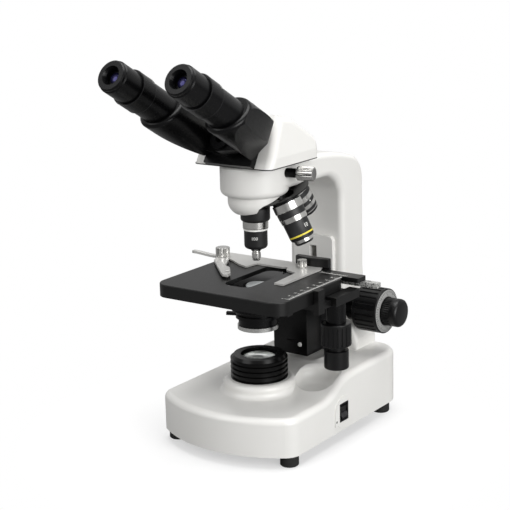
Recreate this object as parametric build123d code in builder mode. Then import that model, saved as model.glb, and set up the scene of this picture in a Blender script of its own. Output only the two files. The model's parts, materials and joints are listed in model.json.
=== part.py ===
# Binocular compound microscope.
# Millimetres, origin on the bench under the optical axis, +X to the user's right, +Y away from the user.
import os
from math import atan2, cos, radians, sin, tan

from build123d import *

os.makedirs("parts", exist_ok=True)

# Fits and clearances
run_fit = 0.05
glass_fit = 0.1
seat_gap = 0.3

# Base casting
foot_height = 11
foot_radius = 8.5
foot_inset = 11
foot_front_y = -45
foot_back_y = 114.5
base_half_width = 74
base_front = 77.5
base_shoulder = 52
base_back = 138
base_front_corner = 16
deck_corner_gap = 3
apron_top = 47
deck_top = 63
rise_start = -6
rise_end = 46
base_wall = 4
base_edge_round = 6
deck_margin = 2
scoop_x = 46
scoop_y = 26
scoop_radius = 21
scoop_rim_round = 5
cover_thickness = 2
screw_head_radius = 4
screw_head_depth = 1.5
screw_radius = 2
screw_length = 8
screw_post_radius = 6
screw_rows = (-12, 60, 92)

# Lamp in the base
pad_radius = 38
pad_top_radius = 29
pad_top = 59
collar_radius = 26.7
collar_top = 78
collar_lip_radius = 23.6
collar_lip = 3
collar_rib_count = 4
collar_groove_depth = 1.6
collar_groove_width = 1.8
spigot_radius = 22
spigot_depth = 17
lamp_bore_radius = 19.5
lens_bore_radius = 17
lens_shelf = 4
lens_ledge = 2
ledge_thickness = 1
lens_crown = 3.5
lamp_board_thickness = 2
led_radius = 4.5
led_height = 3
led_round = 1

# Switch and mains inlet
switch_y = 28
switch_z = 29
switch_length = 15
switch_height = 18
switch_depth = 18
switch_wall = 1.5
bezel_half_width = 15
bezel_proud = 1
bezel_bottom = 18
rocker_angle = 8
rocker_pin_radius = 1.5
rocker_thickness = 6
rocker_room = 1.6
inlet_x = 0
inlet_z = 36
inlet_width = 27
inlet_height = 20
inlet_depth = 22
inlet_flange = 3
inlet_flange_thickness = 2
inlet_pin_radius = 1.4

# Arm
arm_half_width = 31
arm_front = 99
arm_back = 138
arm_corner_round = 26
arm_edge_round = 5
limb_edge_round = 6
arm_wall = 6
flare_half_width = 45
flare_top = 142
flare_bottom = 74
limb_drop = 52
limb_depth = 24.2
limb_slope_start = 48
limb_back_drop = 16
limb_bore_radius = 14
nose_ring_depth = 5.5
socket_radius = 22.3
socket_depth = 10

# Head
head_half_width = 42
head_top_half_width = 37
head_front = 35.5
head_back = 44
head_front_height = 44.5
head_crown_back = 8
head_crown_drop = 4
head_back_height = 18
head_back_round = 14
head_wall = 4
head_edge_round = 7
tube_tilt = 30
dovetail_top_radius = 20
dovetail_bottom_radius = 22
dovetail_bore_radius = 12
lock_angle = 12
lock_drop = 8.7
lock_stem_radius = 2.6
lock_knob_radius = 6.4
lock_knob_length = 15
lock_knob_start = 42.5

# Binocular swing
eye_spacing = 70
pivot_up_face = 17
tube_above_pivot = 6.2
housing_radius = 20
facet_reach = 1.8
facet_turns = (0, 35)
housing_rear_round = 1.5
flange_middle = 64.5
flange_slant = 27.5
flange_round = 3.5
tube_radius = 15.2
tube_end = 93
sleeve_radius = 13.5
diopter_radius = 16.2
diopter_length = 17.5
barrel_radius = 11.6
barrel_length = 34
eyepiece_radius = 14.4
eyepiece_length = 24.5
eyepiece_rim_radius = 13.5
eyepiece_rim = 4
eye_lens_radius = 7
eye_recess = 3
hub_radius = 11
hub_arm_radius = 12
hub_thickness = 8.5
axle_radius = 6
axle_cap_radius = 9.5
axle_cap = 2
hub_plate_half_width = 25.5
hub_plate_thickness = 9.5
hub_proud = 6.5
light_bore_radius = 8
tube_prism_size = 16
tube_prism_depth = 16
prism_start = 42

# Nosepiece, with the four objective axes meeting at one point on the optical axis
nose_rise = 16.5
turret_tilt = 17.6
turret_lean = 25
seat_distance = 70
bowl_radius = 24.5
bowl_round = 13
bowl_reach = 6
bowl_lip = 4.9
turret_radius = 34
turret_rim = 1
turret_thickness = 5
turret_nose_radius = 9
turret_sweep = 36.2
turret_sweep_drop = 1.5
boss_radius = 12.6
boss_height = 1.2
port_radius = 10.16
thread_radius = 10.1
thread_length = 3.2
pivot_radius = 3.5
pivot_head_radius = 5
pivot_head = 3
pivot_reach = 4
objective_reach = 49
cap_length = 6
front_lens_radius = 1.9
front_lens_depth = 1.2

# Focus drive
knob_y = 103.5
knob_z = 106.5
pinion_radius = 6.5
pinion_length = 7
coarse_shaft_radius = 4.3
fine_shaft_radius = 2.2
arm_boss_radius = 14
arm_boss_x = 38.5
bush_radius = 13.5
bush_spigot_radius = 9
bush_spigot_length = 11
bush_end = 49.5
coarse_radius = 21.7
coarse_start = 50
coarse_end = 76.5
coarse_rib_count = 24
coarse_rib_depth = 1.1
coarse_rib_half_width = 1.3
coarse_land = 3
fine_radius = 13.5
fine_end = 93.5
fine_start = 77
fine_round = 3
guide_half_width = 22
guide_thickness = 5
guide_bottom = 70
guide_top = 174.5
guide_corner = 5
slot_half_width = 4
slot_bottom = 76
slot_top = 164
block_half_width = 19
block_front = 52
block_bottom = 66
cheek_half_width = 26
cheek_start = 84
cheek_taper = 6
rack_half_width = 3.3
rack_bottom = 83
rack_top = 148
tongue_half_width = 3.9
tongue_depth = 6
tongue_bottom = 80
fine_room = 1
deck_pocket_depth = 6

# Stage
stage_top = 153.5
stage_half_width = 70
stage_front = 64
stage_back = 43
stage_corner = 14
stage_plate_thickness = 4
rim_depth = 12
rim_width = 6
corner_foot_depth = 2
corner_foot_size = 13
aperture_half_width = 14.5
aperture_front = 35
aperture_back = 40
aperture_corner = 9
carrier_thickness = 5.5
rim_clearance = 0.5
carrier_half_width = 50
carrier_front = 36
carrier_back = 66
rail_x = 43
rail_half_width = 3
length_travel = 26
wing_front = 14
wing_back = 46
wing_plate_front = 6.5
wing_plate_width = 10.6
wing_plate_rise = 2.6
pointer_gap = 0.8
pointer_thickness = 5.2
pointer_back = -4
pointer_drop = 3.5
pointer_rise = 0.7
bracket_half_width = 24
bracket_front = 34
bracket_back = 88
bracket_thickness = 5.5
guide_bar_depth = 14
guide_bar_height = 4.2
guide_bar_overhang = 12
carriage_left = 6
carriage_right = 42
carriage_back = 60
carriage_front = 51
carriage_height = 8
cross_rack_left = -6
cross_rack_right = 97
cross_rack_front = 50
cross_rack_height = 4.7

# Specimen holder
holder_lift = 0.4
holder_thickness = 1.7
holder_outline = [(29, -14), (38.5, -14), (38.5, 48), (34.5, 57), (-74, 57), (-76, 44), (-54, 35), (-39, 25.5),
                  (-28, 21.5), (-26, 36), (3, 36), (8, 38.5), (13, 29), (26, 25)]
finger_pivot_x = -68
finger_pivot_y = 39
finger_outline = [(-6.2, 2), (6.6, 0), (13, -8), (27, -32), (35, -36), (47, -51), (49, -58), (44, -59), (39, -55),
                  (22, -38), (2, -17)]
finger_hole = (42, -49)
finger_hole_radius = 2
finger_tail = 36
finger_tail_radius = 2.2
finger_thickness = 2.5
thumb_radius = 4.6
finger_thumb_radius = 6.6
thumb_height = 7
thumb_stem_radius = 2
clamp_thumb_x = 20
clamp_thumb_y = 45

# Stage drive
drive_offset = 2
drive_y = 20.5
drive_tube_radius = 9.1
drive_tube_length = 18.5
length_knob_radius = 13.9
length_knob_height = 21.2
length_knob_ribs = 20
length_rib_depth = 0.8
length_rib_half_width = 0.9
drive_neck_radius = 8
cross_knob_radius = 11.4
drive_neck = 5
cross_knob_height = 17
cross_knob_round = 1.5
length_shaft_radius = 4
cross_shaft_radius = 2

# Condenser
condenser_hole_radius = 18.3
condenser_radius = 17.9
condenser_gap = 3.5
condenser_height = 36
condenser_cell_height = 4.5
condenser_cell_radius = 13
condenser_lens_radius = 10.5
condenser_lens_crown = 1.5
condenser_lens_depth = 7
ring_radius = 24.5
ring_height = 10.5
ring_drop = 22
ring_knurls = 40
ring_knurl_radius = 0.8
flange_thickness = 2.7
flange_edge = 19.5
iris_ring_radius = 20.5
iris_drop = 29.5
iris_height = 3
iris_lever_reach = 30
iris_lever_half_width = 2
iris_lever_angle = 200
filter_outer = 19
filter_inner = 14.5
filter_height = 3.7
filter_pin_y = 24
filter_pin_radius = 2.3
filter_eye_radius = 4.2
filter_tip_radius = 3
filter_tip_drop = 48

# Worked-out places
base_bottom = foot_height
plate_bottom = stage_top - stage_plate_thickness
rim_bottom = stage_top - rim_depth
apex_height = stage_top + nose_rise + objective_reach + seat_distance
limb_bottom = apex_height - limb_drop
limb_top = limb_bottom + limb_depth
nose_bottom = limb_bottom - nose_ring_depth
lock_height = limb_top - lock_drop
head_bottom = limb_top + seat_gap
foot_x = base_half_width - foot_inset
pointer_inner = stage_half_width + pointer_gap
pointer_outer = pointer_inner + pointer_thickness
wing_plate_edge = pointer_inner + wing_plate_width
guide_bar_end = stage_half_width + guide_bar_overhang
drive_x = stage_half_width + drive_offset
deck_left = flare_half_width + deck_margin
base_back_corner = base_half_width - deck_left - deck_corner_gap
collar_base = pad_top
collar_height = collar_top - collar_base
guide_front = arm_front - guide_thickness
holder_bottom = stage_top + holder_lift
holder_top = holder_bottom + holder_thickness
carrier_top = rim_bottom - rim_clearance
carrier_bottom = carrier_top - carrier_thickness
block_top = carrier_bottom - bracket_thickness - fine_room
rail_back = stage_back - length_travel - 2 * seat_gap
drive_tube_bottom = carrier_bottom - drive_tube_length
condenser_top = plate_bottom - condenser_gap
condenser_shoulder = condenser_top - condenser_cell_height
condenser_bottom = condenser_top - condenser_height
ring_bottom = condenser_top - ring_drop
ring_top = ring_bottom + ring_height
iris_bottom = condenser_top - iris_drop
iris_top = iris_bottom + iris_height
filter_top = condenser_bottom - seat_gap
filter_bottom = filter_top - filter_height
filter_tip_bottom = condenser_top - filter_tip_drop

# Frames of the tilted groups
pivot_plane = Plane(
    origin=(
        0,
        -head_front + pivot_up_face * sin(radians(tube_tilt)) - hub_proud * cos(radians(tube_tilt)),
        head_bottom + pivot_up_face * cos(radians(tube_tilt)) + hub_proud * sin(radians(tube_tilt)),
    ),
    x_dir=(1, 0, 0),
    z_dir=(0, -cos(radians(tube_tilt)), sin(radians(tube_tilt))),
)
turret_plane = Plane(
    origin=(0, 0, apex_height),
    x_dir=(cos(radians(turret_lean)), -sin(radians(turret_lean)), 0),
    z_dir=(
        sin(radians(turret_tilt)) * sin(radians(turret_lean)),
        sin(radians(turret_tilt)) * cos(radians(turret_lean)),
        -cos(radians(turret_tilt)),
    ),
)
lock_plane = Plane(
    origin=(0, 0, lock_height),
    x_dir=(0, 0, 1),
    z_dir=(cos(radians(lock_angle)), sin(radians(lock_angle)), 0),
)
knob_plane = Plane(origin=(0, knob_y, knob_z), x_dir=(0, 1, 0), z_dir=(1, 0, 0))
knob_axis = Axis((0, knob_y, knob_z), (1, 0, 0))


def save(builder, name):
    builder.part.label = name
    export_step(builder.part, f"parts/{name}.step")


def spin(plane, outline, mode=Mode.ADD):
    """Turn an outline of (radius, height) points about the plane's normal."""
    side = Plane(origin=plane.origin, x_dir=plane.x_dir, z_dir=-plane.y_dir)
    with BuildSketch(side) as section:
        with BuildLine():
            Polyline(*outline, close=True)
        make_face()
    revolve(section.sketch, axis=Axis(plane.origin, plane.z_dir), mode=mode)


def disc(plane, radius, start, end, mode=Mode.ADD):
    """Round bar about the plane's normal, between two heights."""
    with BuildSketch(plane.offset(start)) as section:
        Circle(radius)
    extrude(section.sketch, amount=end - start, mode=mode)


def block(x_range, y_range, z_range, mode=Mode.ADD):
    """Box between pairs of limits."""
    with BuildSketch(Plane.XY.offset(z_range[0])) as section:
        with Locations(((x_range[0] + x_range[1]) / 2, (y_range[0] + y_range[1]) / 2)):
            Rectangle(x_range[1] - x_range[0], y_range[1] - y_range[0])
    extrude(section.sketch, amount=z_range[1] - z_range[0], mode=mode)


def at(x, y):
    """Upright frame at a point of the plan."""
    return Plane(origin=(x, y, 0))


def base_outline():
    """Plan of the base: bowed front, straight sides and rounded corners."""
    with BuildSketch() as plan:
        with BuildLine():
            ThreePointArc((-base_half_width, -base_shoulder), (0, -base_front), (base_half_width, -base_shoulder))
            Polyline(
                (base_half_width, -base_shoulder),
                (base_half_width, base_back),
                (-base_half_width, base_back),
                (-base_half_width, -base_shoulder),
            )
        make_face()
        fillet(plan.vertices().group_by(Axis.Y)[0], base_front_corner)
        fillet(plan.vertices().group_by(Axis.Y)[-1].filter_by(lambda v: v.Y > base_shoulder), base_back_corner)
    return plan.sketch


def cone_height(radius):
    """Height of the turret's cone, square to the objective axes, at a radius from the turret's axis."""
    tilt = radians(turret_tilt)
    return (seat_distance - boss_height - radius * sin(tilt)) / cos(tilt)


# Turret, and the room it turns in, as (radius, distance below the apex) points
turret_start = cone_height(turret_radius) - turret_rim
turret_end = turret_start + turret_thickness
housing_face = turret_start - seat_gap
turret_room = [
    (0, housing_face),
    (turret_radius + seat_gap, housing_face),
    (turret_sweep, housing_face + turret_sweep_drop),
    (turret_sweep, 2 * housing_face),
    (0, 2 * housing_face),
]

base_plan = base_outline()
base_inner_plan = offset(base_plan, amount=-base_wall)
screw_places = [
    (side * (base_half_width - base_wall - 0.8 * screw_post_radius), y)
    for side in (-1, 1)
    for y in screw_rows
]
foot_places = [(side * foot_x, y) for side in (-1, 1) for y in (foot_front_y, foot_back_y)]

# Apron of the base, at one height under the whole plan
with BuildPart() as apron:
    with BuildSketch(Plane.XY.offset(base_bottom)):
        add(base_plan)
    extrude(amount=apron_top - base_bottom)
    fillet(apron.edges().group_by(Axis.Z)[-1], base_edge_round)

# Base shell: the apron with a raised deck under the arm and on the right-hand side
with BuildPart() as base_shell:
    with BuildSketch(Plane.XY.offset(base_bottom)):
        add(base_plan)
        with Locations((base_half_width - deck_left, 0)):
            Rectangle(2 * base_half_width, 4 * base_back, mode=Mode.INTERSECT)
    extrude(amount=deck_top - base_bottom)
    with BuildSketch(Plane.YZ):
        with BuildLine():
            rise_middle = ((rise_start + rise_end) / 2, (apron_top + deck_top) / 2)
            Line((-2 * base_front, apron_top), (rise_start, apron_top))
            rise_foot = TangentArc((rise_start, apron_top), rise_middle, tangent=(1, 0))
            TangentArc(rise_middle, (rise_end, deck_top), tangent=rise_foot % 1)
            Polyline(
                (rise_end, deck_top),
                (2 * base_back, deck_top),
                (2 * base_back, 0),
                (-2 * base_front, 0),
                (-2 * base_front, apron_top),
            )
        make_face()
    extrude(amount=2 * base_half_width, both=True, mode=Mode.INTERSECT)
    rim_edges = base_shell.edges().filter_by(lambda e: e.center().Z > apron_top - 1)
    fillet(rim_edges.filter_by(Axis.X, reverse=True), base_edge_round)
    for side in (-1, 1):
        scoop_plane = Plane(origin=(side * scoop_x, scoop_y, 0), x_dir=(1, 0, 0), z_dir=(0, -1, 0))
        with BuildSketch(scoop_plane):
            with BuildLine():
                scoop_bend = (scoop_radius, deck_top - scoop_rim_round)
                Line((0, apron_top), (scoop_radius - (deck_top - scoop_rim_round - apron_top), apron_top))
                TangentArc((scoop_radius - (deck_top - scoop_rim_round - apron_top), apron_top), scoop_bend, tangent=(1, 0))
                TangentArc(scoop_bend, (scoop_radius + scoop_rim_round, deck_top), tangent=(0, 1))
                Polyline((scoop_radius + scoop_rim_round, deck_top), (scoop_radius + scoop_rim_round, 2 * deck_top),
                         (0, 2 * deck_top), (0, apron_top))
            make_face()
        revolve(axis=Axis((side * scoop_x, scoop_y, 0), (0, 0, 1)), mode=Mode.SUBTRACT)
    add(apron.part)
    with BuildSketch(Plane.XZ):
        with BuildLine():
            pad_middle = ((pad_radius + pad_top_radius) / 2, (apron_top + pad_top) / 2)
            Polyline((0, pad_top), (0, base_bottom), (pad_radius, base_bottom), (pad_radius, apron_top))
            pad_foot = TangentArc((pad_radius, apron_top), pad_middle, tangent=(-1, 0))
            TangentArc(pad_middle, (pad_top_radius, pad_top), tangent=pad_foot % 1)
            Line((pad_top_radius, pad_top), (0, pad_top))
        make_face()
    revolve(axis=Axis.Z)
    block((-cheek_half_width - cover_thickness, cheek_half_width + cover_thickness),
          (block_front - cover_thickness, arm_front), (deck_top - deck_pocket_depth, deck_top), Mode.SUBTRACT)
    with BuildSketch(Plane.XY.offset(base_bottom)):
        add(base_inner_plan)
    extrude(amount=apron_top - base_wall - base_bottom, mode=Mode.SUBTRACT)
    with BuildSketch(Plane.XY.offset(base_bottom)):
        add(base_inner_plan)
        with Locations((base_half_width + base_wall - deck_left, rise_end + base_wall + base_back)):
            Rectangle(2 * base_half_width, 2 * base_back, mode=Mode.INTERSECT)
    extrude(amount=deck_top - deck_pocket_depth - base_wall - base_bottom, mode=Mode.SUBTRACT)
    for x, y in screw_places:
        post_top = apron_top if y < rise_end or x < 0 else deck_top - deck_pocket_depth
        disc(at(x, y), screw_post_radius, base_bottom + cover_thickness, post_top - base_wall)
        disc(at(x, y), screw_radius, base_bottom, base_bottom + cover_thickness + screw_length, Mode.SUBTRACT)
    disc(Plane.XY, spigot_radius + run_fit, base_bottom, pad_top + 1, Mode.SUBTRACT)
    with BuildSketch(Plane.YZ.offset(base_half_width - base_wall)):
        with Locations((switch_y, (bezel_bottom + switch_z) / 2)):
            Rectangle(2 * bezel_half_width, switch_z - bezel_bottom)
        with Locations((switch_y, switch_z)):
            Circle(bezel_half_width)
    extrude(amount=base_wall + bezel_proud)
    with BuildSketch(Plane.YZ.offset(base_half_width + bezel_proud)):
        with Locations((switch_y, switch_z)):
            Rectangle(switch_length, switch_height)
    extrude(amount=-2 * base_wall, mode=Mode.SUBTRACT)
    with BuildSketch(Plane.XZ.offset(-base_back)):
        with Locations((inlet_x, inlet_z)):
            Rectangle(inlet_width, inlet_height)
    extrude(amount=2 * base_wall, both=True, mode=Mode.SUBTRACT)
save(base_shell, "base_shell")

# Sheet cover under the base
with BuildPart() as base_plate:
    with BuildSketch(Plane.XY.offset(base_bottom)):
        offset(base_inner_plan, amount=-seat_gap)
    extrude(amount=cover_thickness)
    for x, y in screw_places:
        disc(at(x, y), screw_radius, base_bottom, base_bottom + cover_thickness, Mode.SUBTRACT)
save(base_plate, "base_plate")

# Pan head screws that hold the cover
with BuildPart() as base_screws:
    for x, y in screw_places:
        disc(at(x, y), screw_head_radius, base_bottom - screw_head_depth, base_bottom)
        disc(at(x, y), screw_radius, base_bottom, base_bottom + cover_thickness + screw_length)
save(base_screws, "base_screws")

# Rubber feet
with BuildPart() as rubber_feet:
    for x, y in foot_places:
        spin(at(x, y), [(0, 0), (foot_radius - 1, 0), (foot_radius, 1), (foot_radius, base_bottom), (0, base_bottom)])
save(rubber_feet, "rubber_feet")

# Ribbed lamp collar with its spigot in the base
with BuildPart() as lamp_collar:
    disc(Plane.XY, spigot_radius, collar_base - spigot_depth, collar_base)
    disc(Plane.XY, collar_radius, collar_base, collar_top)
    spin(Plane.XY, [(0, collar_top), (collar_lip_radius + collar_lip / 2, collar_top),
                    (collar_lip_radius, collar_top + collar_lip), (0, collar_top + collar_lip)])
    groove_pitch = collar_height / collar_rib_count
    for rib in range(collar_rib_count):
        middle = collar_base + groove_pitch * (rib + 0.5)
        spin(Plane.XY, [
            (collar_radius - collar_groove_depth, middle - collar_groove_width / 2),
            (collar_radius + 1, middle - collar_groove_width),
            (collar_radius + 1, middle + collar_groove_width),
            (collar_radius - collar_groove_depth, middle + collar_groove_width / 2),
        ], Mode.SUBTRACT)
    shelf = collar_top + collar_lip - lens_shelf - lens_crown
    disc(Plane.XY, lens_bore_radius, shelf, collar_top + collar_lip, Mode.SUBTRACT)
    disc(Plane.XY, lens_bore_radius - lens_ledge, shelf - ledge_thickness, shelf, Mode.SUBTRACT)
    disc(Plane.XY, lamp_bore_radius, collar_base - spigot_depth, shelf - ledge_thickness, Mode.SUBTRACT)
save(lamp_collar, "lamp_collar")

# Field lens on the collar's shelf
with BuildPart() as field_lens:
    rim = lens_bore_radius - glass_fit
    with BuildSketch(Plane.XZ):
        with BuildLine():
            Polyline((0, shelf + lens_shelf + lens_crown), (0, shelf), (rim, shelf), (rim, shelf + lens_shelf))
            TangentArc((0, shelf + lens_shelf + lens_crown), (rim, shelf + lens_shelf), tangent=(1, 0))
        make_face()
    revolve(axis=Axis.Z)
save(field_lens, "field_lens")

# Bright cone between lamp and lens
lamp_seat = collar_base - spigot_depth + lamp_board_thickness + seat_gap
with BuildPart() as lamp_reflector:
    spin(Plane.XY, [
        (led_radius + seat_gap, lamp_seat),
        (lamp_bore_radius - glass_fit, lamp_seat),
        (lamp_bore_radius - glass_fit, shelf - ledge_thickness),
        (lens_bore_radius - lens_ledge, shelf - ledge_thickness),
    ])
save(lamp_reflector, "lamp_reflector")

# Lamp board with its light-emitting chip
with BuildPart() as led_board:
    disc(Plane.XY, lamp_bore_radius - glass_fit, lamp_seat - lamp_board_thickness, lamp_seat)
    disc(Plane.XY, led_radius, lamp_seat, lamp_seat + led_height)
    fillet(led_board.edges().sort_by(Axis.Z)[-1], led_round)
save(led_board, "led_board")

# Mains inlet in the back wall
with BuildPart() as power_inlet:
    with BuildSketch(Plane.XZ.offset(-base_back)) as inlet_face:
        with Locations((inlet_x, inlet_z)):
            Rectangle(inlet_width - seat_gap, inlet_height - seat_gap)
    extrude(amount=inlet_depth)
    with BuildSketch(Plane.XZ.offset(-base_back)):
        with Locations((inlet_x, inlet_z)):
            RectangleRounded(inlet_width + 2 * inlet_flange, inlet_height + 2 * inlet_flange, inlet_flange)
    extrude(amount=-inlet_flange_thickness)
    with BuildSketch(Plane.XZ.offset(-base_back - inlet_flange_thickness)):
        with Locations((inlet_x, inlet_z)):
            RectangleRounded(inlet_width - 2 * inlet_flange, inlet_height - 2 * inlet_flange, inlet_flange)
    extrude(amount=inlet_depth - inlet_flange, mode=Mode.SUBTRACT)
    with BuildSketch(Plane.XZ.offset(-base_back)):
        with Locations((inlet_x, inlet_z)):
            with GridLocations(inlet_width / 4, 1, 3, 1):
                Circle(inlet_pin_radius)
    extrude(amount=inlet_depth - inlet_flange)
save(power_inlet, "power_inlet")

# Switch body in the right-hand wall, open to the outside
rocker_pivot_x = base_half_width - rocker_thickness / 2
switch_half_length = switch_length / 2 - seat_gap
switch_half_height = switch_height / 2 - seat_gap
with BuildPart() as switch_body:
    face_x = base_half_width + bezel_proud
    block((face_x - switch_depth, face_x), (switch_y - switch_half_length, switch_y + switch_half_length),
          (switch_z - switch_half_height, switch_z + switch_half_height))
    block((face_x - switch_depth + switch_wall, face_x),
          (switch_y - switch_half_length + switch_wall, switch_y + switch_half_length - switch_wall),
          (switch_z - switch_half_height + switch_wall, switch_z + switch_half_height - switch_wall), Mode.SUBTRACT)
    pin_plane = Plane(origin=(rocker_pivot_x, switch_y, switch_z), x_dir=(1, 0, 0), z_dir=(0, 1, 0))
    disc(pin_plane, rocker_pin_radius, -switch_half_length, switch_half_length)
save(switch_body, "switch_body")

# Rocker that tips on the switch body's pin
with BuildPart() as switch_rocker:
    rocker_half_height = switch_half_height - switch_wall - rocker_room
    rocker_tip = rocker_half_height * sin(radians(rocker_angle))
    rocker_front = rocker_pivot_x + 0.75 * rocker_thickness
    rocker_half_length = switch_half_length - switch_wall - seat_gap
    with BuildSketch(Plane.XZ.offset(-(switch_y - rocker_half_length))):
        with BuildLine():
            Polyline(
                (rocker_pivot_x - rocker_thickness / 2, switch_z - rocker_half_height),
                (rocker_front + rocker_tip, switch_z - rocker_half_height),
                (rocker_pivot_x + rocker_thickness / 2, switch_z),
                (rocker_front - rocker_tip, switch_z + rocker_half_height),
                (rocker_pivot_x - rocker_thickness / 2, switch_z + rocker_half_height),
                close=True,
            )
        make_face()
    extrude(amount=-2 * rocker_half_length)
    disc(pin_plane, rocker_pin_radius + run_fit, -switch_length, switch_length, Mode.SUBTRACT)
save(switch_rocker, "switch_rocker")

# Arm: flared column, limb over the stage and the socket for the head
with BuildPart() as arm:
    with BuildSketch(Plane.XZ.offset(-arm_front)):
        with BuildLine():
            Polyline((0, deck_top), (flare_half_width, deck_top), (flare_half_width, flare_bottom))
            TangentArc((arm_half_width, flare_top), (flare_half_width, flare_bottom), tangent=(0, -1))
            Polyline((arm_half_width, flare_top), (arm_half_width, limb_top), (0, limb_top), (0, deck_top))
        make_face()
        mirror(about=Plane.YZ)
    extrude(amount=arm_front - arm_back)
    with BuildSketch(Plane.XY.offset(limb_bottom)):
        Circle(arm_half_width)
        with Locations((0, (arm_front + 1) / 2)):
            Rectangle(2 * arm_half_width, arm_front + 1)
    extrude(amount=limb_top - limb_bottom)
    arch_edge = arm.edges().filter_by(Axis.X).filter_by(
        lambda e: abs(e.center().Y - arm_front) < 1 and abs(e.center().Z - limb_bottom) < 1
    )
    fillet(arch_edge, arm_corner_round)
    with BuildSketch(Plane.YZ):
        with BuildLine():
            TangentArc((limb_slope_start, limb_top), (arm_back, limb_top - limb_back_drop), tangent=(1, 0))
            Polyline((arm_back, limb_top - limb_back_drop), (2 * arm_back, limb_top - limb_back_drop),
                     (2 * arm_back, limb_top + limb_depth), (limb_slope_start, limb_top + limb_depth),
                     (limb_slope_start, limb_top))
        make_face()
    extrude(amount=flare_half_width, both=True, mode=Mode.SUBTRACT)
    crown_edge = arm.edges().filter_by(Axis.X).filter_by(
        lambda e: e.center().Y > arm_back - 1 and e.center().Z > limb_bottom
    )
    fillet(crown_edge, arm_corner_round)
    back_edges = arm.edges().filter_by(
        lambda e: abs(e.center().X) > arm_half_width - 1 and e.center().Z > deck_top + 1
        and (e.center().Y > arm_back - arm_corner_round or e.center().Z > limb_bottom + arm_edge_round)
    )
    fillet(back_edges.filter_by(Axis.Y, reverse=True), arm_edge_round)
    ring_edges = arm.edges().filter_by(
        lambda e: abs(e.center().Z - limb_bottom) < 0.1 and e.center().Y < arm_front - arm_corner_round
    )
    fillet(ring_edges.filter_by(Axis.X, reverse=True), limb_edge_round)
    for side in (-1, 1):
        disc(knob_plane, arm_boss_radius, side * (arm_half_width - base_wall), side * arm_boss_x)
    with BuildSketch(Plane.XZ):
        with BuildLine():
            ring_side = (arm_half_width, nose_bottom + limb_edge_round)
            ring_foot = (arm_half_width - limb_edge_round, nose_bottom)
            Polyline(ring_foot, (0, nose_bottom), (0, limb_bottom + limb_edge_round),
                     (arm_half_width, limb_bottom + limb_edge_round), ring_side)
            TangentArc(ring_side, ring_foot, tangent=(0, -1))
        make_face()
    revolve(axis=Axis.Z)
    disc(Plane.XY, limb_bore_radius, nose_bottom, limb_top, Mode.SUBTRACT)
    disc(Plane.XY, socket_radius, limb_top - socket_depth, limb_top, Mode.SUBTRACT)
    disc(lock_plane, lock_stem_radius + run_fit, socket_radius - 1, lock_knob_start, Mode.SUBTRACT)
    spin(turret_plane, turret_room, Mode.SUBTRACT)
    disc(turret_plane, pivot_radius, housing_face - pivot_reach, housing_face, Mode.SUBTRACT)
    disc(knob_plane, bush_spigot_radius, -arm_boss_x, arm_boss_x, Mode.SUBTRACT)
    block((-slot_half_width - 2, slot_half_width + 2), (arm_front - 1, knob_y + pinion_radius + 2),
          (slot_bottom, slot_top), Mode.SUBTRACT)
    block((arm_wall - arm_half_width, arm_half_width - arm_wall), (knob_y + arm_boss_radius, arm_back - arm_wall),
          (deck_top, limb_bottom - arm_wall), Mode.SUBTRACT)
save(arm, "arm")

# Bushes for the focus shafts, pressed into the arm from both sides
with BuildPart() as focus_bushes:
    for side in (-1, 1):
        disc(knob_plane, bush_spigot_radius, side * (arm_boss_x - bush_spigot_length), side * arm_boss_x)
        disc(knob_plane, bush_radius, side * arm_boss_x, side * bush_end)
        disc(knob_plane, coarse_shaft_radius + run_fit, 0, side * bush_end, Mode.SUBTRACT)
save(focus_bushes, "focus_bushes")

# Upright guide plate on the column, slotted for the rack
with BuildPart() as focus_guide:
    block((-guide_half_width, guide_half_width), (guide_front, arm_front), (guide_bottom, guide_top))
    fillet(focus_guide.edges().filter_by(Axis.Y), guide_corner)
    block((-slot_half_width, slot_half_width), (guide_front, arm_front), (slot_bottom, slot_top), Mode.SUBTRACT)
save(focus_guide, "focus_guide")

# Fixed bowl of the nosepiece, cut off square to the turret's axis
with BuildPart() as nosepiece_housing:
    with BuildSketch(Plane.XZ):
        with BuildLine():
            bowl_end = apex_height - seat_distance - bowl_reach
            Polyline((0, bowl_end), (0, nose_bottom), (bowl_radius, nose_bottom), (bowl_radius, bowl_end + bowl_round))
            RadiusArc((bowl_radius, bowl_end + bowl_round), (bowl_radius - bowl_round, bowl_end), bowl_round)
            Line((bowl_radius - bowl_round, bowl_end), (0, bowl_end))
        make_face()
    revolve(axis=Axis.Z)
    with BuildSketch(turret_plane.offset(housing_face + bowl_lip)):
        Rectangle(4 * turret_radius, 4 * turret_radius)
    extrude(amount=turret_radius, mode=Mode.SUBTRACT)
    spin(turret_plane, turret_room, Mode.SUBTRACT)
    disc(Plane.XY, thread_radius, bowl_end, nose_bottom, Mode.SUBTRACT)
    disc(turret_plane, pivot_radius, housing_face - pivot_reach, housing_face, Mode.SUBTRACT)
save(nosepiece_housing, "nosepiece_housing")

# Bolt that the turret turns on
with BuildPart() as turret_pivot:
    disc(turret_plane, pivot_radius, housing_face - pivot_reach, turret_end + seat_gap)
    disc(turret_plane, pivot_head_radius, turret_end + seat_gap, turret_end + seat_gap + pivot_head)
save(turret_pivot, "turret_pivot")


def objective_plane(turn):
    """Frame along one objective's axis, with its origin where the four axes meet."""
    tilt = radians(turret_tilt)
    along = turret_plane.z_dir * cos(tilt)
    out = turret_plane.y_dir * (sin(tilt) * cos(radians(turn)))
    across = turret_plane.x_dir * (sin(tilt) * sin(radians(turn)))
    normal = along + out + across
    return Plane(origin=turret_plane.origin, x_dir=turret_plane.z_dir.cross(normal), z_dir=normal)


objective_turns = {"100x": 0, "10x": 90, "4x": 180}
objective_planes = {name: objective_plane(turn) for name, turn in objective_turns.items()}
cap_plane = objective_plane(270)
port_planes = [*objective_planes.values(), cap_plane]


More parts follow.
